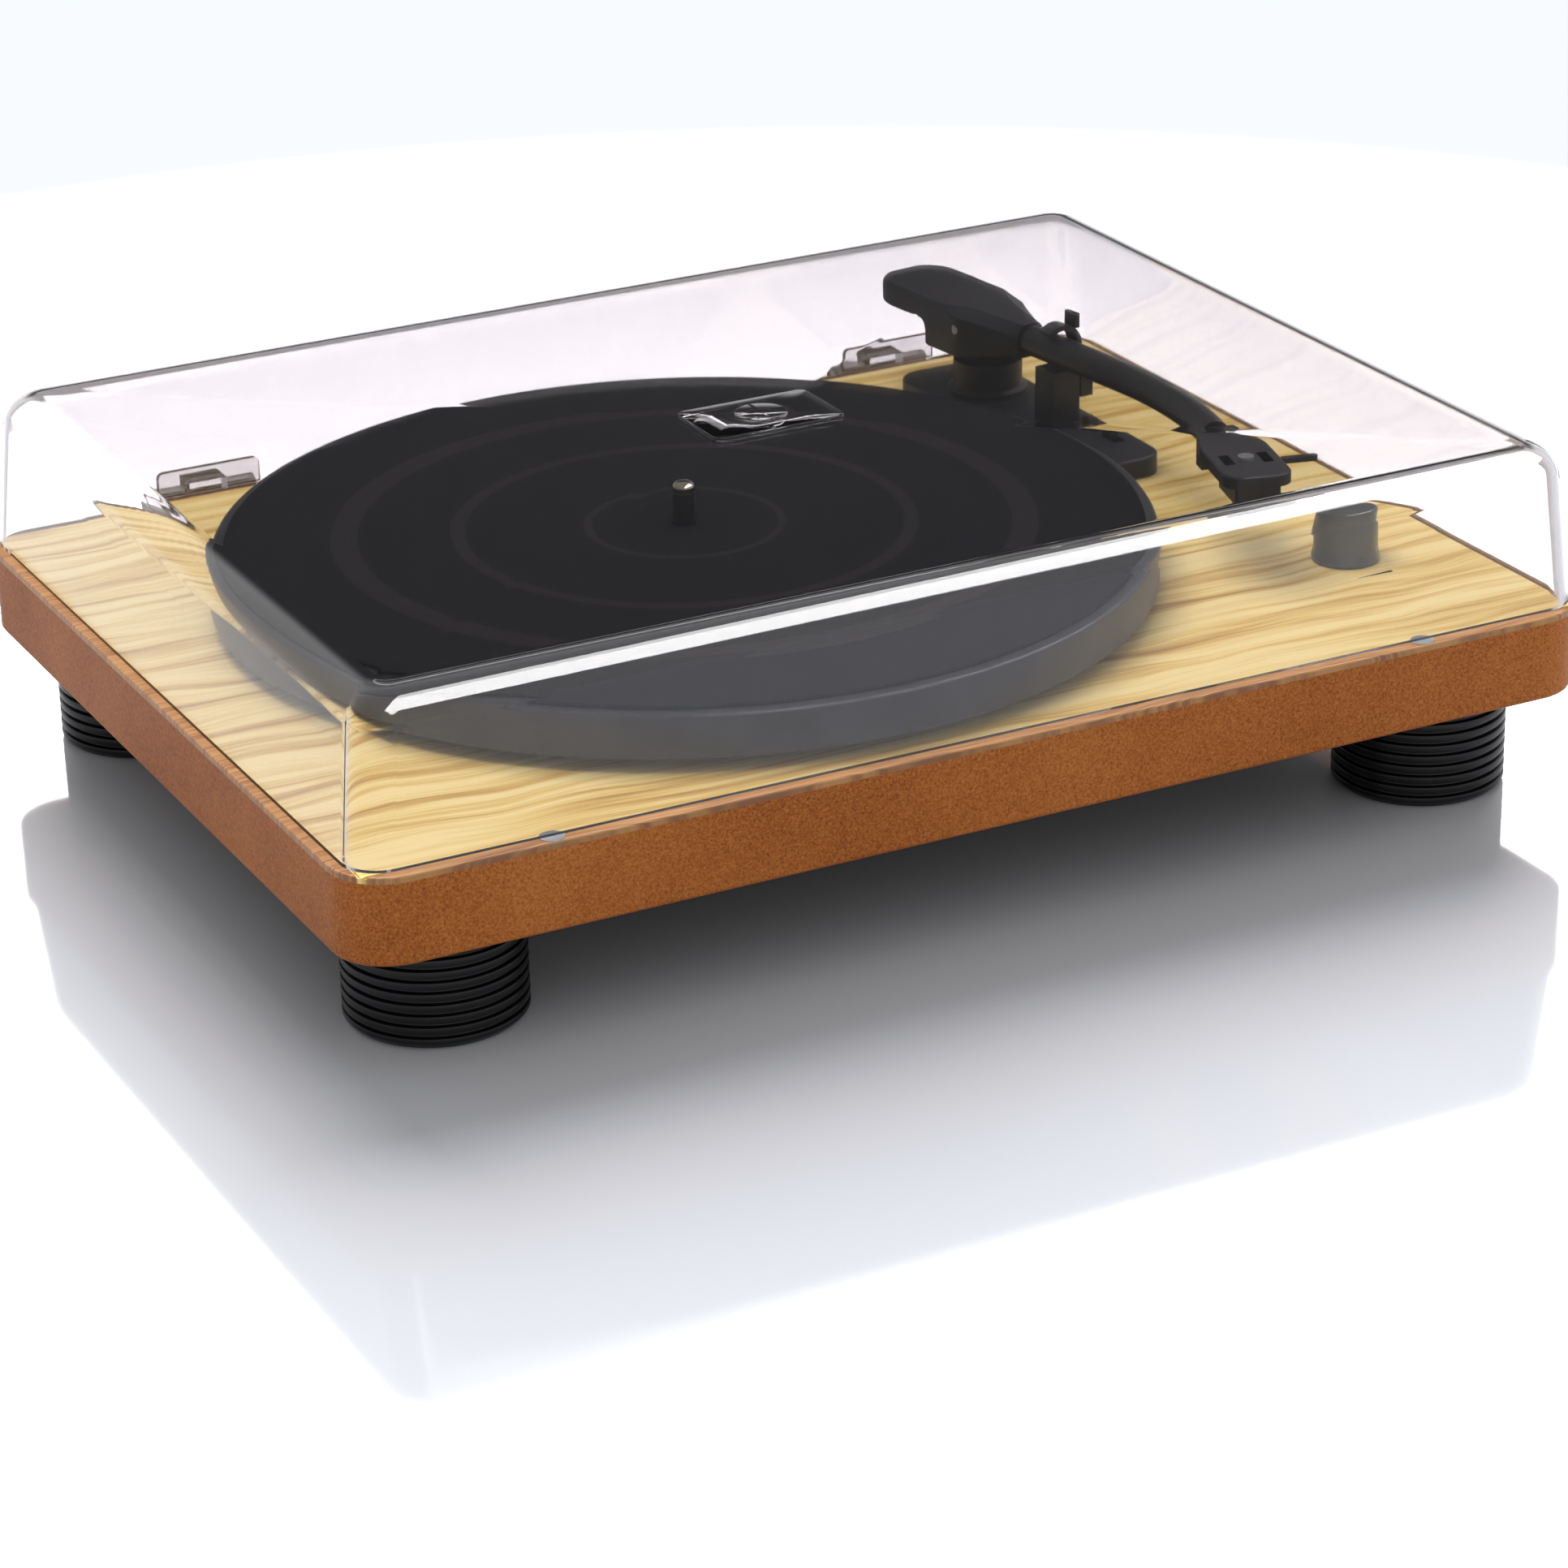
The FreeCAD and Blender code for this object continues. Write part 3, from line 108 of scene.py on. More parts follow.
def sums(tree, operation, first, *others):
    # One Math node: the operation on its inputs in turn.
    links = {f"i{k}": value for k, value in enumerate((first, *others))}
    return addNode(tree, "Math", {"operation": operation}, **links).outputs[0]


def dimmed(shade, share):
    # The hex colour with each sRGB channel times the share, rounded down.
    return "".join(f"{int(int(shade[i:i + 2], 16) * share):02x}" for i in (0, 2, 4))


def ramp(tree, factor, stops):
    # Colour between (position, hex) stops, picked by a factor from 0 to 1.
    item = addNode(tree, "ValToRGB", Fac=factor)
    bar = item.color_ramp.elements
    while len(bar) < len(stops):
        bar.new(0.5)
    for element, (spot, shade) in zip(bar, stops):
        element.position = spot
        element.color = hexColour(shade)
    return item.outputs[0]


def bumped(tree, shader, height, distance, strength=1.0):
    # Tilts the normal as if the pattern were a relief of the distance, in metres.
    bump = addNode(tree, "Bump", Height=height, Distance=distance, Strength=strength)
    tree.links.new(bump.outputs[0], shader.inputs["Normal"])


def roughVaried(tree, shader, source, low, high):
    # Roughness goes in a straight line from low to high as the pattern goes from 0 to 1.
    spread = addNode(tree, "MapRange", Value=source, To_Min=low, To_Max=high)
    tree.links.new(spread.outputs[0], shader.inputs["Roughness"])


paint = {"light": "b8733e", "mid": "a15d28", "dark": "70391a", "grain": 0.8, "cloud": 22.0, "relief": 0.06}


def makePaint():
    # Sprayed metallic-fleck lacquer on fibreboard: satin copper brown with fine darker specks.
    made, tree, shader = newMaterial("sprayedCopperLacquer", Roughness=0.5, Specular_IOR_Level=0.1)
    speck = noise(tree, place(tree), 1 / (paint["grain"] * mm), 4.0, 0.7).outputs["Fac"]
    cloud = noise(tree, place(tree), paint["cloud"], 3.0).outputs["Fac"]
    both = sums(tree, "MULTIPLY_ADD", cloud, 0.25, speck)
    shades = ramp(tree, both, [(0.4, paint["dark"]), (0.62, paint["mid"]), (0.8, paint["light"])])
    tree.links.new(shades, shader.inputs["Base Color"])
    roughVaried(tree, shader, speck, 0.32, 0.52)
    bumped(tree, shader, speck, paint["relief"] * mm, 0.5)
    return made


pine = {"light": "e8d08e", "base": "dcbd6e", "line": "c59f50", "deep": "a67d3c", "rim": "a87842",
        "rimDark": "7d4f2a", "band": 150.0, "run": 6.5, "fibre": 1300.0, "fibreRun": 22.0, "sway": 34.0,
        "rimWidth": 4.6, "rimBlur": 0.4, "halfX": 210.0, "halfY": 160.0, "midY": -5.0, "relief": 0.08}


def makePine():
    # Rotary-cut pine veneer under satin lacquer: wavy streaks along X, fine dark fibres, and a brown rim
    # band: the rounded painted edge's own brown with a painted highlight that makes it lighter than the
    # paint's mid tone. The rim mask is 1 where |x| or |y| comes within the rim's width of the edge.
    made, tree, shader = newMaterial("satinPineVeneer", Roughness=0.4, Coat_Weight=0.15, Coat_Roughness=0.25)
    spot = addNode(tree, "TexCoord").outputs["Object"]
    wave = noise(tree, place(tree, (9.0, 14.0, 1.0))).outputs["Color"]
    bent = addNode(tree, "VectorMath", {"operation": "MULTIPLY_ADD"}, i0=wave,
                   i1=(0.0, pine["sway"] * mm, 0.0), i2=spot).outputs[0]
    wide = addNode(tree, "Mapping", Vector=bent, Scale=(pine["run"], pine["band"], 1.0)).outputs[0]
    thin = addNode(tree, "Mapping", Vector=bent, Scale=(pine["fibreRun"], pine["fibre"], 1.0)).outputs[0]
    streak = noise(tree, wide, 1.0, 3.0, 0.6).outputs["Fac"]
    fibre = noise(tree, thin, 1.0, 3.0, 0.6).outputs["Fac"]
    both = sums(tree, "MULTIPLY_ADD", fibre, 0.34, streak)
    figure = ramp(tree, both, [(0.46, pine["deep"]), (0.56, pine["line"]), (0.65, pine["base"]),
                               (0.76, pine["light"])])
    parts = addNode(tree, "SeparateXYZ", Vector=spot)
    sideX = sums(tree, "ABSOLUTE", parts.outputs[0])
    sideY = sums(tree, "ABSOLUTE", sums(tree, "SUBTRACT", parts.outputs[1], pine["midY"] * mm))
    sideY = sums(tree, "ADD", sideY, (pine["halfX"] - pine["halfY"]) * mm)
    start = (pine["halfX"] - pine["rimWidth"]) * mm
    mask = addNode(tree, "MapRange", Value=sums(tree, "MAXIMUM", sideX, sideY), From_Min=start,
                   From_Max=start + pine["rimBlur"] * mm).outputs[0]
    # Rim colours: the painted edge's brown, lightened as a painted highlight along the rounded edge.
    rim = ramp(tree, fibre, [(0.4, pine["rimDark"]), (0.6, pine["rim"])])
    mixed = addNode(tree, "Mix", {"data_type": "RGBA"}, i0=mask, i6=figure, i7=rim)
    tree.links.new(mixed.outputs[2], shader.inputs["Base Color"])
    roughVaried(tree, shader, fibre, 0.32, 0.5)
    bumped(tree, shader, both, pine["relief"] * mm, 0.4)
    return made


def makeMoulded(name, shade, roughness, grit=0.35, depth=0.00004, coat=0.0):
    # A moulded, pressed or sintered piece: grain of the grit's size in mm breaks up its sheen,
    # and wide clouds dim its colour by a fifth.
    made, tree, shader = newMaterial(name, Roughness=roughness, Coat_Weight=coat, Coat_Roughness=0.15,
                                     Specular_IOR_Level=0.35)
    grain = noise(tree, place(tree), 1 / (grit * mm), 3.0).outputs["Fac"]
    wide = noise(tree, place(tree), 60.0).outputs["Fac"]
    tree.links.new(ramp(tree, wide, [(0.3, dimmed(shade, 0.8)), (0.7, shade)]), shader.inputs["Base Color"])
    roughVaried(tree, shader, grain, roughness - 0.07, roughness + 0.07)
    bumped(tree, shader, grain, depth, 0.6)
    return made


def makeMetal(name, shade, roughness, stretch=(1, 1, 1), depth=0.00001):
    # Turned or plated metal: fine tool lines that stretch its highlights.
    made, tree, shader = newMaterial(name, Metallic=1.0, Roughness=roughness)
    lines = noise(tree, place(tree, stretch), 2500.0).outputs["Fac"]
    tree.links.new(ramp(tree, lines, [(0.3, dimmed(shade, 0.85)), (0.7, shade)]), shader.inputs["Base Color"])
    roughVaried(tree, shader, lines, max(roughness - 0.06, 0.02), roughness + 0.08)
    bumped(tree, shader, lines, depth, 0.4)
    return made


felt = {"base": "1d1e22", "fleck": "2b2c31", "print": "363336", "fibre": 0.5, "relief": 0.3, "blur": 0.4,
        "rings": ((104, 112), (70, 74), (30, 32))}


def makeFelt():
    # Needle-punched felt: charcoal with pale fibres and a soft printed pattern of rings. The
    # ring mask is 1 where |radius - ring's middle| is under half the ring's width.
    made, tree, shader = newMaterial("charcoalFelt", Roughness=0.95, Specular_IOR_Level=0.08)
    centre = middle("spindle")
    parts = addNode(tree, "SeparateXYZ", Vector=place(tree, shift=(-centre[0], -centre[1], 0)))
    fibre = noise(tree, place(tree), 1 / (felt["fibre"] * mm), 5.0, 0.75).outputs["Fac"]
    cloth = ramp(tree, fibre, [(0.35, felt["base"]), (0.7, felt["fleck"])])
    squares = [sums(tree, "MULTIPLY", parts.outputs[k], parts.outputs[k]) for k in (0, 1)]
    radius = sums(tree, "SQRT", sums(tree, "ADD", *squares))
    mask = None
    for inner, outer in felt["rings"]:
        half = (outer - inner) / 2 * mm
        away = sums(tree, "ABSOLUTE", sums(tree, "SUBTRACT", radius, (inner + outer) / 2 * mm))
        band = addNode(tree, "MapRange", Value=away, From_Min=half, From_Max=half + felt["blur"] * mm,
                       To_Min=1.0, To_Max=0.0).outputs[0]
        mask = band if mask is None else sums(tree, "MAXIMUM", mask, band)
    mixed = addNode(tree, "Mix", {"data_type": "RGBA"}, i0=mask, i6=cloth, i7=hexColour(felt["print"]))
    tree.links.new(mixed.outputs[2], shader.inputs["Base Color"])
    bumped(tree, shader, fibre, felt["relief"] * mm, 0.5)
    return made


def makeClear():
    # Polished cast acrylic: clear, with sharp reflections. Shadow rays and soft light pass
    # straight through, so that the pieces under it are lit without bright specks.
    made, tree, shader = newMaterial("polishedAcrylic", Base_Color=hexColour("dedbdd"), Roughness=0.015,
                                     IOR=1.49, Transmission_Weight=1.0)
    roughVaried(tree, shader, noise(tree, place(tree), 9.0).outputs["Fac"], 0.005, 0.03)
    passing = addNode(tree, "BsdfTransparent", Color=(0.93, 0.93, 0.94, 1))
    ray = addNode(tree, "LightPath").outputs
    blend = addNode(tree, "MixShader", Fac=sums(tree, "MAXIMUM", ray["Is Shadow Ray"], ray["Is Diffuse Ray"]))
    tree.links.new(shader.outputs[0], blend.inputs[1])
    tree.links.new(passing.outputs[0], blend.inputs[2])
    tree.links.new(blend.outputs[0], tree.nodes["Material Output"].inputs[0])
    return made


def makeBoard():
    # Solder-masked laminate: green with faint paler tracks.
    made, tree, shader = newMaterial("solderMaskLaminate", Roughness=0.35)
    tracks = addNode(tree, "TexBrick", {"offset": 0.3}, Vector=place(tree), Scale=120.0,
                     Color1=hexColour("1d5a33"), Color2=hexColour("1a4f2d"), Mortar=hexColour("2f7a49"))
    tree.links.new(tracks.outputs[0], shader.inputs["Base Color"])
    bumped(tree, shader, tracks.outputs["Fac"], 0.00003)
    return made


def makeRed():
    # Translucent moulded polycarbonate: deep red that glows a little where it is thin.
    made, tree, shader = newMaterial("redPolycarbonate", Roughness=0.22, IOR=1.58, Transmission_Weight=0.25)
    swirl = noise(tree, place(tree), 300.0).outputs["Fac"]
    tree.links.new(ramp(tree, swirl, [(0.3, "b02a10"), (0.7, "d8431c")]), shader.inputs["Base Color"])
    return made


print("materials")
copperPaint = makePaint()
pineVeneer = makePine()
clearAcrylic = makeClear()
charcoalFelt = makeFelt()
greenBoard = makeBoard()
stylusRed = makeRed()
texturedBlack = makeMoulded("sparkTexturedAbs", "222327", 0.46)
smoothBlack = makeMoulded("smoothBlackAbs", "26272b", 0.34, grit=0.8, depth=0.00001)
footBlack = makeMoulded("mouldedFootAbs", "0b0b0e", 0.3, grit=0.8, depth=0.00001)
knobGrey = makeMoulded("knobGreyAbs", "4a4e4c", 0.3, grit=0.6, depth=0.00001, coat=0.4)
platterGrey = makeMoulded("satinPlatterLacquer", "3d3f44", 0.42, grit=0.25, depth=0.000004)
darkBoard = makeMoulded("hardboardUnderside", "2a2521", 0.8, grit=1.2, depth=0.0001)
coneBlack = makeMoulded("pressedPaperCone", "17171a", 0.85, grit=0.9, depth=0.0001)
beltRubber = makeMoulded("groundRubberBelt", "141414", 0.7)
ferrite = makeMoulded("sinteredFerrite", "3a3a3d", 0.75)
socketWhite = makeMoulded("whiteNylonInsulator", "e6e5e0", 0.35, depth=0.00001)
socketRed = makeMoulded("redNylonInsulator", "b5150f", 0.35, depth=0.00001)
clearRubber = makeMoulded("clearRubberBumper", "b9bcbd", 0.4)
zincSteel = makeMetal("zincPlatedSteel", "b9bcc0", 0.32)
turnedBrass = makeMetal("turnedBrass", "c8a55a", 0.25, (1, 1, 8))
brightTip = makeMetal("polishedSpindle", "b8b0a0", 0.12, (1, 1, 8))
drawnAlloy = makeMetal("drawnAluminium", "d0d2d4", 0.28)

# The finish of each CAD node; the nodes that are replaced keep one for their own mesh.
finishes = {
    copperPaint: ["plinth_frame"],
    pineVeneer: ["top_panel"],
    darkBoard: ["bottom_cover"],
    footBlack: ["foot_front_left", "foot_front_right", "foot_rear_left", "foot_rear_right"],
    zincSteel: ["foot_screws", "clip_pin", "volume_control", "motor", "speaker_frame_left",
                "speaker_frame_right", "hinge_pins", "motor_shaft", "pivot_shaft", "headshell_screw",
                "pitch_screws", "knob_shaft"],
    clearRubber: ["cover_bumpers"],
    texturedBlack: ["bearing_well", "tonearm_base", "pivot_turret", "arm_rest", "lever_switches",
                    "board_posts", "rear_panel", "dc_socket", "power_switch", "pivot_yoke",
                    "arm_housing", "headshell", "arm_clip", "speed_lever", "auto_stop_lever",
                    "power_rocker"],
    smoothBlack: ["arm_tube", "finger_lift", "cartridge"],
    turnedBrass: ["bearing_bush", "pivot_bush", "motor_pulley"],
    brightTip: ["spindle"],
    beltRubber: ["drive_belt"],
    greenBoard: ["circuit_board"],
    socketWhite: ["rca_socket_left"],
    socketRed: ["rca_socket_right"],
    coneBlack: ["speaker_cones"],
    ferrite: ["speaker_magnets", "counterweight"],
    clearAcrylic: ["dust_cover", "hinge_leaf_left", "hinge_leaf_right", "hinge_bracket_left",
                   "hinge_bracket_right"],
    platterGrey: ["platter"],
    charcoalFelt: ["platter_mat"],
    stylusRed: ["stylus_holder"],
    drawnAlloy: ["cantilever"],
    knobGrey: ["volume_knob"],
}
for finish, names in finishes.items():
    for name in names:
        mesh = frame["nodes"][name].data
        mesh.materials.clear()
        mesh.materials.append(finish)


def blend(first, last, share):
    # A value part of the way from first to last.
    return first + (last - first) * share


def softened(points, radius, steps=4, closed=False):
    # Each corner of a flat outline becomes an arc that touches both of its sides; the arc
    # starts radius / tan(half the corner's angle) from the corner, or half a side if shorter.
    spots = [np.array(p, float) for p in points]
    count = len(spots)
    out = []
    for i, spot in enumerate(spots):
        if not closed and i in (0, count - 1):
            out.append(spot)
            continue
        before, after = spots[i - 1] - spot, spots[(i + 1) % count] - spot
        longA, longB = np.linalg.norm(before), np.linalg.norm(after)
        a, b = before / longA, after / longB
        angle = math.acos(float(np.clip(a @ b, -1, 1)))
        if angle > math.pi - 0.02 or radius <= 0:
            out.append(spot)
            continue
        reach = min(radius / math.tan(angle / 2), 0.48 * longA, 0.48 * longB)
        real = reach * math.tan(angle / 2)
        centre = spot + (a + b) / np.linalg.norm(a + b) * real / math.sin(angle / 2)
        start = spot + a * reach - centre
        end = spot + b * reach - centre
        for k in range(steps + 1):
            way = blend(start, end, k / steps)
            out.append(centre + way / np.linalg.norm(way) * real)
    return np.array(out)


def loft(loops, closed=False):
    # A skin through a stack of loops with equal point counts; its ends are capped unless
    # the stack is closed on itself.
    rings, count = len(loops), len(loops[0])
    spots = np.concatenate([np.asarray(loop, float) for loop in loops])
    faces = []
    for j in range(rings if closed else rings - 1):
        low, high = j * count, (j + 1) % rings * count
        for i in range(count):
            n = (i + 1) % count
            faces.append((low + i, low + n, high + n, high + i))
    if not closed:
        faces.append(tuple(reversed(range(count))))
        faces.append(tuple(range((rings - 1) * count, rings * count)))
    return spots, faces


def lathe(profile, centre, around=160):
    # Points (radius, z) turned about a vertical axis: x = radius cos t, y = radius sin t.
    angles = np.linspace(0, 2 * math.pi, around, endpoint=False)
    loops = []
    for radius, height in profile:
        loops.append(np.stack([centre[0] + max(radius, 1e-5) * np.cos(angles),
                               centre[1] + max(radius, 1e-5) * np.sin(angles),
                               np.full(around, height)], axis=1))
    return loft(loops)


def meshObject(name, skin, finish, crease):
    # A smooth mesh with outward faces and sharp edges where they turn by more than the crease.
    points, faces = skin
    mesh = bpy.data.meshes.new(name)
    mesh.from_pydata([tuple(map(float, p)) for p in points], [], faces)
    shape = bmesh.new()
    shape.from_mesh(mesh)
    bmesh.ops.recalc_face_normals(shape, faces=shape.faces)
    shape.to_mesh(mesh)
    shape.free()
    mesh.shade_smooth()
    mesh.set_sharp_from_angle(angle=math.radians(crease))
    mesh.materials.append(finish)
    item = bpy.data.objects.new(name, mesh)
    bpy.context.collection.objects.link(item)
    return item


def piece(name, skin, finish, node, crease=32):
    # A mesh that stands for one CAD node and moves with its body.
    item = meshObject(name, skin, finish, crease)
    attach(item, bodyOf[node])
    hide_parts(node)
    return item


record = frame["record"]
bodyOf = {node: name for name, nodes in record["behaviour"]["bodies"].items() for node in nodes}


print("cover")
cover = {"height": 52.0, "draftX": 5.0, "draftY": 2.2, "wall": 2.6, "corner": 12.0,
         "topRadius": 11.0, "plate": (46.0, 30.0, 0.8), "plateCorner": 3.0,
         "boss": (8.5, 0.6), "brim": 0.3}


def roundedLoop(halfX, halfY, radius, height, centre, steps=10):
    # A level rounded rectangle: four quarter circles of the radius about its inner corners.
    radius = min(radius, halfX, halfY)
    out = []
    for k, (sx, sy) in enumerate(((1, 1), (-1, 1), (-1, -1), (1, -1))):
        for j in range(steps + 1):
            angle = math.pi / 2 * (k + j / steps)
            out.append((centre[0] + sx * (halfX - radius) + radius * math.cos(angle),
                        centre[1] + sy * (halfY - radius) + radius * math.sin(angle), height))
    return np.array(out)


def coverLoops(halfX, halfY, base, wall):
    # The tapered shell drawn in by wall: each level's half size is the mouth's half size less
    # the draft so far; over the top edge it goes on along a quarter circle of the top radius.
    tall = cover["height"] - wall
    radius = cover["topRadius"] - wall
    levels = [(k / 6 * (tall - radius), 0.0) for k in range(7)]
    for k in range(1, 13):
        angle = math.pi / 2 * k / 12
        levels.append((tall - radius + radius * math.sin(angle), radius * (1 - math.cos(angle))))
    loops = []
    for rise, inset in levels:
        drawX = cover["draftX"] * min(rise, tall) / cover["height"] + inset + wall
        drawY = cover["draftY"] * min(rise, tall) / cover["height"] + inset + wall
        corner = max(cover["corner"] - wall - inset * 0.6, 2.0)
        loops.append(roundedLoop(halfX - drawX * mm, halfY - drawY * mm, corner * mm,
                                 base + rise * mm, coverMiddle))
    return loops


def pad(halfX, halfY, radius, low, high, edge):
    # A raised pad on the level skin: its foot, its wall and a small rounded brim.
    level = [(0, low), (0, high - edge), (edge * 0.3, high - edge * 0.3), (edge, high)]
    return [roundedLoop((halfX - inset) * mm, (halfY - inset) * mm, (radius - inset) * mm, z * mm,
                        coverMiddle) for inset, z in level]


low, high = corner("dust_cover")
coverMiddle = (low + high) / 2
halfX, halfY = (high[0] - low[0]) / 2, (high[1] - low[1]) / 2
outside = coverLoops(halfX, halfY, low[2], 0.0)
inside = coverLoops(halfX, halfY, low[2], cover["wall"])
top = low[2] / mm + cover["height"]
plateX, plateY, plateUp = cover["plate"]
bossRadius, bossUp = cover["boss"]
outside += pad(plateX / 2, plateY / 2, cover["plateCorner"], top, top + plateUp, cover["brim"])
outside += pad(bossRadius, bossRadius, bossRadius, top + plateUp, top + plateUp + bossUp, cover["brim"])
for loops in (outside, inside):
    flat = loops[-1].mean(axis=0)
    loops.append(flat + (loops[-1] - flat) * 0.02)
coverPiece = piece("acrylicCover", loft(outside[::-1] + inside), clearAcrylic, "dust_cover", 28)


print("platter")
turntable = {"edge": 1.2, "matEdge": 0.5, "bore": 4.0, "spin": 220}
axis = middle("platter_mat")
for name, node, edge, finish in (("platterDisc", "platter", turntable["edge"], platterGrey),
                                 ("feltMat", "platter_mat", turntable["matEdge"], charcoalFelt)):
    low, high = corner(node)
    outer, bore = (high[0] - low[0]) / 2, turntable["bore"] * mm
    outline = [(bore, low[2]), (outer, low[2]), (outer, high[2]), (bore, high[2])]
    piece(name, lathe(softened(outline, edge * mm), axis, turntable["spin"]), finish, node)


print("feet")
foot = {"rib": 3.55, "groove": 1.25, "depth": 1.5, "toe": 2.0, "slant": 0.25, "brim": 1.5, "edge": 0.35}
for name in ("foot_front_left", "foot_front_right", "foot_rear_left", "foot_rear_right"):
    low, high = corner(name)
    outer = (high[0] - low[0]) / 2
    inner = outer - foot["depth"] * mm
    toe, slant, groove = (foot[key] * mm for key in ("toe", "slant", "groove"))
    profile = [(0, low[2]), (outer - toe, low[2]), (outer, low[2] + toe)]
    level = low[2] + foot["rib"] * mm
    while level + groove < high[2] - foot["brim"] * mm:
        profile += [(outer, level), (inner, level + slant), (inner, level + groove - slant),
                    (outer, level + groove)]
        level += foot["rib"] * mm
    profile += [(outer, high[2]), (0, high[2])]
    piece(name + "_turned", lathe(softened(profile, foot["edge"] * mm, 2), (low + high) / 2, 96),
          footBlack, name, 40)


print("knob")
knob = {"foot": 1.0, "flare": 3.4, "slim": 0.6, "taper": 0.3, "crownEdge": 1.3, "dish": 0.35}
low, high = corner("volume_knob")
outer = (high[0] - low[0]) / 2
slim = outer - knob["slim"] * mm
outline = [(0, low[2]), (outer, low[2]), (outer, low[2] + knob["foot"] * mm),
           (slim, low[2] + knob["flare"] * mm), (slim - knob["taper"] * mm, high[2]),
           (slim * 0.5, high[2] - 0.02 * mm), (0, high[2] - knob["dish"] * mm)]
piece("knobTurned", lathe(softened(outline, knob["crownEdge"] * mm, 6), (low + high) / 2, 96), knobGrey,
      "volume_knob", 40)


print("spindle")
pin = {"radius": 3.6, "band": 3.6, "line": 0.4, "lineDepth": 0.15, "dome": 2.0, "bore": 4.0}
low, high = corner("spindle")
radius, dome, bore = pin["radius"] * mm, pin["dome"] * mm, pin["bore"] * mm
matTop = corner("platter_mat")[1][2]
waist = high[2] - pin["band"] * mm
waistTop = high[2] - (pin["band"] - pin["line"]) * mm
slim = radius - pin["lineDepth"] * mm
profile = [(0, low[2]), (bore, low[2]), (bore, matTop), (radius, matTop), (radius, waist), (slim, waist),
           (slim, waistTop), (radius, waistTop), (radius, high[2] - dome)]
for k in range(1, 9):
    angle = math.pi / 2 * k / 8
    profile.append((radius * math.cos(angle), high[2] - dome + dome * math.sin(angle)))
spindlePin = piece("spindlePin", lathe(profile, axis, 48), smoothBlack, "spindle", 40)
spindlePin.data.materials.append(brightTip)
for face in spindlePin.data.polygons:
    face.material_index = int(face.center.z > waist)


print("tonearm")
arm = {"x": 138.0, "y": 93.0, "heading": 7.0, "axisZ": 94.5, "radius": 5.2, "start": 9.6, "straight": 76.0,
       "bendRadius": 167.0, "bend": 22.0, "nose": 3.0}


def fromArm(points):
    # From the arm's own frame (across, along, height in mm) to metres: turned by the heading
    # about the pivot, so x = px + a cos h - b sin h and y = py + a sin h + b cos h.
    points = np.asarray(points, float)
    turn = math.radians(arm["heading"])
    return np.stack([(arm["x"] + points[:, 0] * math.cos(turn) - points[:, 1] * math.sin(turn)),
                     (arm["y"] + points[:, 0] * math.sin(turn) + points[:, 1] * math.cos(turn)),
                     points[:, 2]], axis=1) * mm


def tubeSkin():
    # A circle carried along the arm: straight, then an arc of the bend radius, then a short nose.
    stations = [(0.0, -v, 0.0) for v in np.linspace(arm["start"], arm["straight"], 8)]
    for k in range(1, 21):
        turn = math.radians(arm["bend"]) * k / 20
        stations.append((-arm["bendRadius"] * (1 - math.cos(turn)),
                         -arm["straight"] - arm["bendRadius"] * math.sin(turn), turn))
    across, along, turn = stations[-1]
    stations.append((across - arm["nose"] * math.sin(turn), along - arm["nose"] * math.cos(turn), turn))
    loops = []
    for across, along, turn in stations:
        loop = []
        for angle in np.linspace(0, 2 * math.pi, 40, endpoint=False):
            side = arm["radius"] * math.cos(angle)
            loop.append((across + side * math.cos(turn), along - side * math.sin(turn),
                         arm["axisZ"] + arm["radius"] * math.sin(angle)))
        loops.append(fromArm(loop))
    return loft(loops)


piece("armTube", tubeSkin(), smoothBlack, "arm_tube", 60)

housing = {"half": 14.5, "top": 101.5, "slab": 93.2, "skirt": 84.3, "rear": 51.0, "rearRadius": 12.2,
           "skirtRear": 17.0, "cove": 5.0, "front": -1.0, "nose": -25.0, "noseHalf": 6.1, "noseTop": 100.1,
           "noseBottom": 88.6, "edge": 1.0}


def housingSection(along):
    # Half width, top, bottom and the two top chamfers (across, down) at a place along the arm.
    h = housing
    half, top, bottom = h["half"], h["top"], h["slab"]
    inward = max(along - (h["rear"] - h["rearRadius"]), 0.0)
    half -= h["rearRadius"] - math.sqrt(max(h["rearRadius"] ** 2 - inward ** 2, 0.0))
    lift = max(along - (h["rear"] - 1.2), 0.0) / 1.2
    top -= lift ** 2 * 0.9
    if along < h["skirtRear"]:
        bottom = h["skirt"]
    elif along < h["skirtRear"] + h["cove"]:
        away = h["skirtRear"] + h["cove"] - along
        bottom = h["slab"] - h["cove"] + math.sqrt(max(h["cove"] ** 2 - away ** 2, 0.0))
    chamfer = (h["edge"], h["edge"])
    if along < 9.0:
        share = min((9.0 - along) / 10.0, 1.0)
        chamfer = (blend(h["edge"], 6.0, share), blend(h["edge"], 2.6, share))
    if along < h["front"]:
        share = (h["front"] - along) / (h["front"] - h["nose"])
        half = blend(h["half"], h["noseHalf"], share ** 0.85)
        top = blend(h["top"], h["noseTop"], share)
        bottom = blend(h["skirt"], h["noseBottom"], share)
        chamfer = (blend(6.0, h["noseHalf"] * 0.55, share), blend(2.6, 3.6, share))
    return half, top, bottom, chamfer


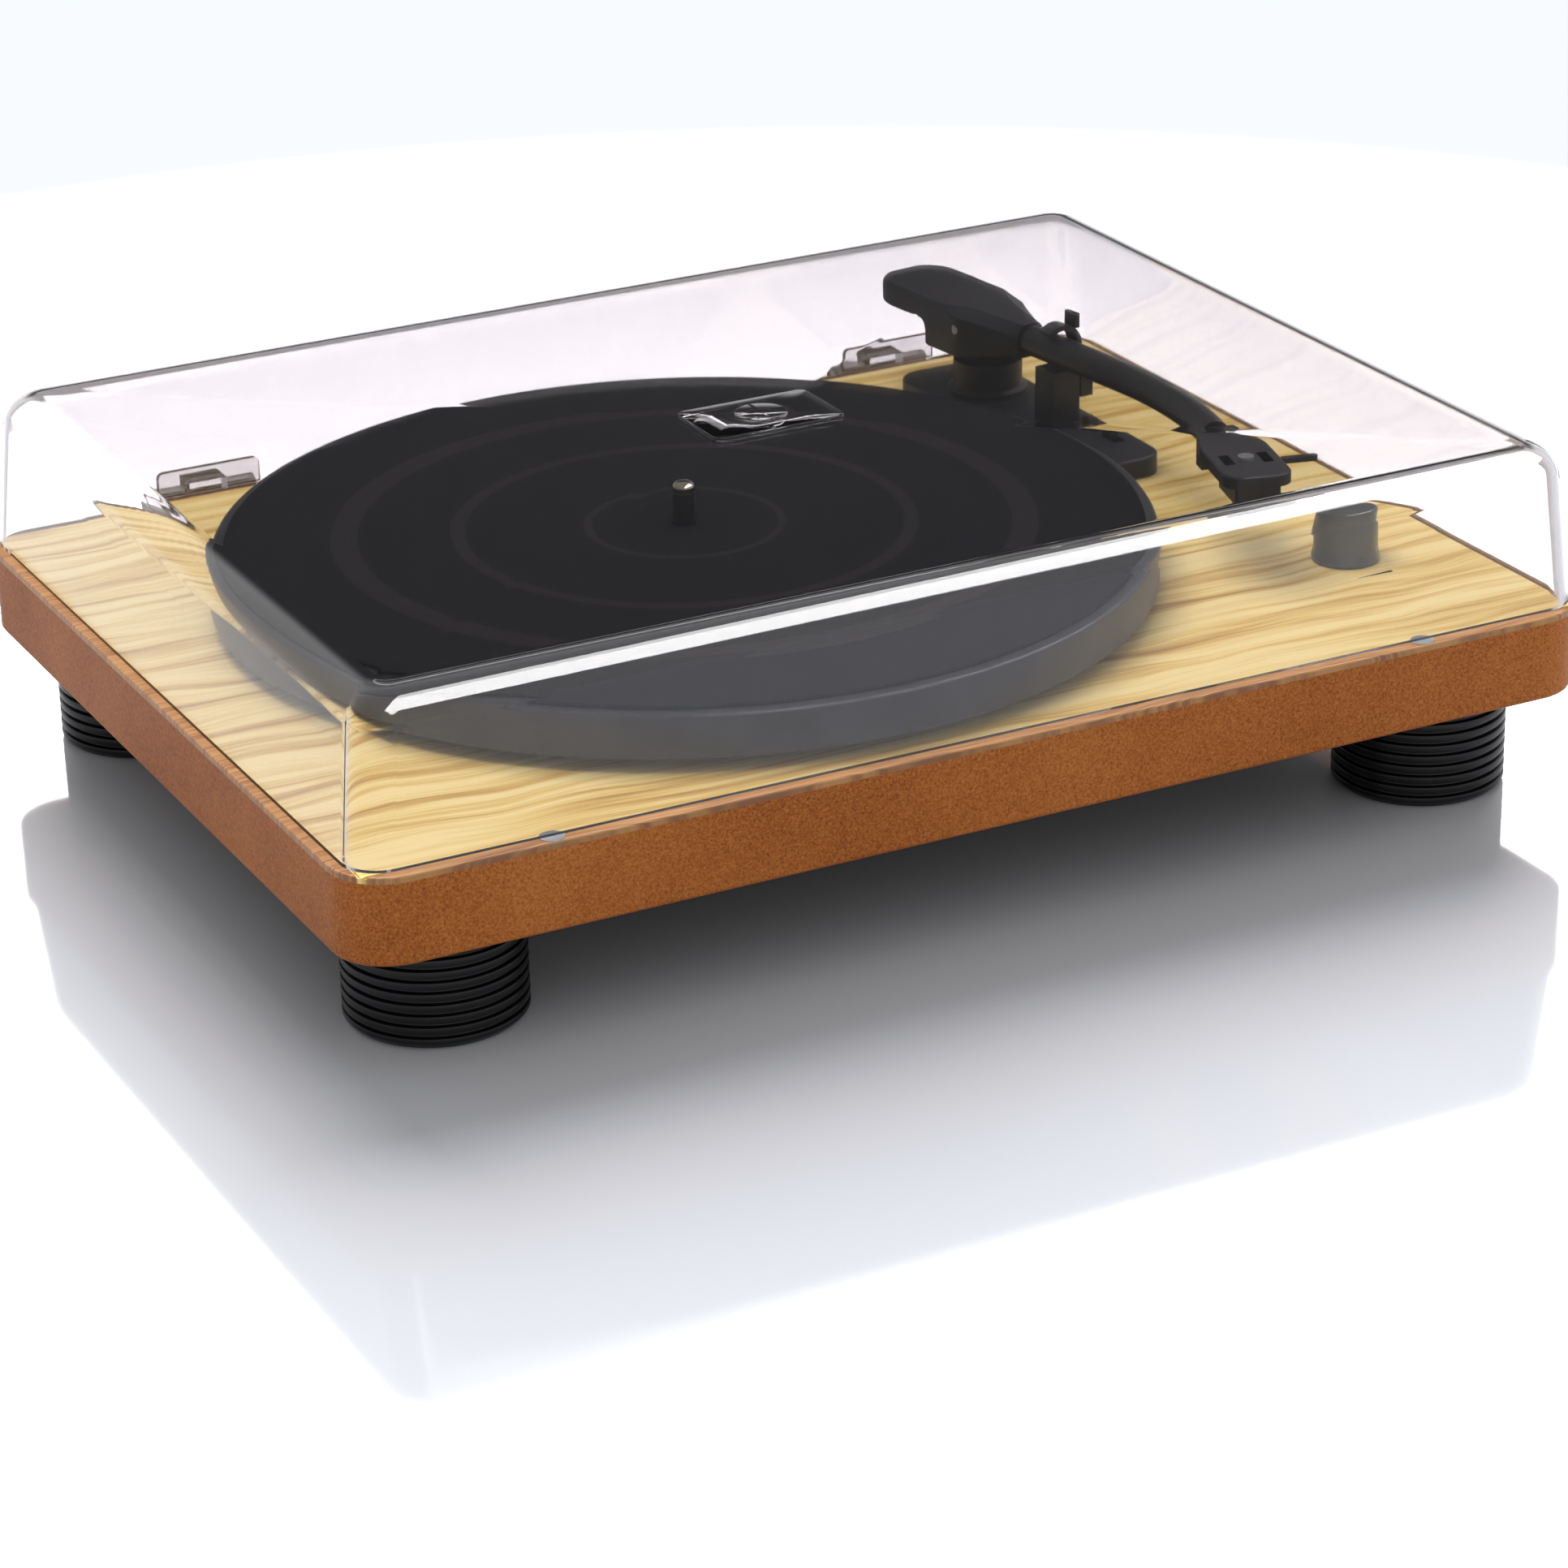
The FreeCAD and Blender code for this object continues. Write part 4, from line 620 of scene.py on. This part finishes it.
def housingSkin():
    # An eight-sided section with softened corners, carried from the round tail to the nose.
    h = housing
    places = [h["nose"], -22.0, -18.0, -12.0, -6.0, h["front"], 2.0, 5.5, 9.0, 13.0, h["skirtRear"] - 0.02]
    places += [h["skirtRear"] + h["cove"] * k / 6 for k in range(7)]
    places += [28.0, 34.0]
    places += [h["rear"] - h["rearRadius"] * (1 - math.sin(math.pi / 2 * k / 12)) for k in range(12)]
    places += [h["rear"] - 0.02]
    loops = []
    for along in places:
        half, top, bottom, (across, down) = housingSection(along)
        half = max(half, 2.4)
        across = min(across, half * 0.45)
        low = min(1.2, half * 0.3)
        outline = [(-half, bottom + low), (-half + low, bottom), (half - low, bottom), (half, bottom + low),
                   (half, top - down), (half - across, top), (-half + across, top), (-half, top - down)]
        loop = softened(outline, 0.7, 3, closed=True)
        loops.append(fromArm([(p[0], along, p[1]) for p in loop]))
    return loft(loops)


piece("armHousing", housingSkin(), texturedBlack, "arm_housing", 24)


print("marks")
wedge = {"length": 13.0, "wide": 1.5, "rise": 0.06, "gap": 6.0}
low, high = corner("volume_knob")
centre = (low + high) / 2
panelTop = corner("top_panel")[1][2]
x0 = centre[0] - wedge["length"] / 2 * mm
y0 = low[1] - wedge["gap"] * mm
mark = [(x0, y0), (x0 + wedge["length"] * mm, y0 - wedge["wide"] / 2 * mm),
        (x0 + wedge["length"] * mm, y0 + wedge["wide"] / 2 * mm)]
wedgeSkin = loft([[(x, y, panelTop + up * mm) for x, y in mark] for up in (-0.05, wedge["rise"])])
wedgeMark = meshObject("printedWedge", wedgeSkin, coneBlack, 30)
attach(wedgeMark, "plinth")


studio = {"floorSize": 30.0, "table": "b2b4b9", "shine": 0.4, "shineNear": 0.3, "shineFar": 0.75,
          "glow": 0.92, "dark": 0.04, "left": 0.6, "card": (0.411, 0.817, 0.404), "inner": 0.972,
          "outer": 0.9, "sun": 7.0, "sunSpread": 50.0, "panel": 36.0, "frontEdge": 150.0}
view = {"spot": (-0.6417, -1.2900, 0.6128), "aim": (-0.07575, -0.16554, 0.06522), "roll": -1.36,
        "lens": 109.695}


def makeFloor():
    # Lacquered studio table: pale, with a soft reflection under the object that fades with
    # the distance from it.
    made, tree, shader = newMaterial("paleStudioTable", Base_Color=hexColour(studio["table"]), Roughness=0.06)
    spot = addNode(tree, "TexCoord").outputs["Object"]
    away = addNode(tree, "VectorMath", {"operation": "LENGTH"}, i0=spot)
    shine = addNode(tree, "MapRange", {"interpolation_type": "SMOOTHSTEP"}, Value=away.outputs["Value"],
                    From_Min=studio["shineNear"], From_Max=studio["shineFar"], To_Min=studio["shine"],
                    To_Max=0.0).outputs[0]
    tree.links.new(shine, shader.inputs["Specular IOR Level"])
    half = studio["floorSize"] / 2
    mesh = bpy.data.meshes.new("studioFloor")
    corners = [(-half, -half, 0), (half, -half, 0), (half, half, 0), (-half, half, 0)]
    mesh.from_pydata(corners, [], [(0, 1, 2, 3)])
    item = bpy.data.objects.new("studioFloor", mesh)
    bpy.context.collection.objects.link(item)
    mesh.materials.append(made)
    return item


def newLamp(name, kind, spot, aim, only, **values):
    # A lamp that stands at the spot, faces the aim and lights one object alone.
    lamp = bpy.data.lights.new(name, kind)
    for key, value in values.items():
        setattr(lamp, key, value)
    item = bpy.data.objects.new(name, lamp)
    item.location = spot
    item.rotation_euler = (Vector(aim) - Vector(spot)).to_track_quat("-Z", "Y").to_euler()
    bpy.context.collection.objects.link(item)
    group = bpy.data.collections.new(name + "Receivers")
    group.objects.link(only)
    item.light_linking.receiver_collection = group


def makeWorld():
    # An even white tent with a soft dark card behind the object: the card's mask is 1 where
    # the direction's dot product with the card's own direction is above its inner limit. The
    # left of the tent is dimmer.
    world = bpy.data.worlds.new("paleStudio")
    world.use_nodes = True
    tree = world.node_tree
    spot = addNode(tree, "TexCoord").outputs["Generated"]
    smooth = {"interpolation_type": "SMOOTHSTEP"}
    near = addNode(tree, "VectorMath", {"operation": "DOT_PRODUCT"}, i0=spot, i1=studio["card"])
    tent = addNode(tree, "MapRange", smooth, Value=near.outputs["Value"], From_Min=studio["outer"],
                   From_Max=studio["inner"], To_Min=studio["glow"], To_Max=studio["dark"]).outputs[0]
    sideways = addNode(tree, "SeparateXYZ", Vector=spot).outputs[0]
    aside = addNode(tree, "MapRange", smooth, Value=sideways, From_Min=-0.9, From_Max=-0.2,
                    To_Min=studio["left"]).outputs[0]
    back = tree.nodes["Background"]
    back.inputs["Color"].default_value = (1, 1, 1, 1)
    tree.links.new(sums(tree, "MULTIPLY", tent, aside), back.inputs["Strength"])
    bpy.context.scene.world = world
    bpy.context.scene.view_settings.view_transform = "Standard"


def makeCamera():
    # The camera looks from spot to aim and is then rolled about its own axis.
    spot, aim = Vector(view["spot"]), Vector(view["aim"])
    back = (spot - aim).normalized()
    right = Vector((0, 0, 1)).cross(back).normalized()
    up = back.cross(right)
    turn = math.radians(view["roll"])
    camRight = right * math.cos(turn) + up * math.sin(turn)
    camUp = up * math.cos(turn) - right * math.sin(turn)
    lens = bpy.data.cameras.new("studioView")
    lens.lens = view["lens"]
    lens.sensor_width = 36
    lens.clip_end = 100
    item = bpy.data.objects.new("studioView", lens)
    bpy.context.collection.objects.link(item)
    item.matrix_world = Matrix((
        (camRight.x, camUp.x, back.x, spot.x),
        (camRight.y, camUp.y, back.y, spot.y),
        (camRight.z, camUp.z, back.z, spot.z),
        (0, 0, 0, 1)))
    bpy.context.scene.camera = item


print("studio")
floorItem = makeFloor()
makeWorld()
newLamp("tableSun", "SUN", (0.94, 1.86, 1.5), (0, 0, 0), floorItem, energy=studio["sun"],
        angle=math.radians(studio["sunSpread"]))
newLamp("panelSoftbox", "AREA", (-0.3, 0.3, 1.6), (0, 0, 0), frame["nodes"]["top_panel"],
        shape="RECTANGLE", size=1.2, size_y=1.2, energy=studio["panel"])
newLamp("frontEdgeBox", "AREA", (0.82, -0.80, 1.70), (0, 0, 0.08), coverPiece, shape="RECTANGLE",
        size=3.4, size_y=1.1, energy=studio["frontEdge"])
makeCamera()
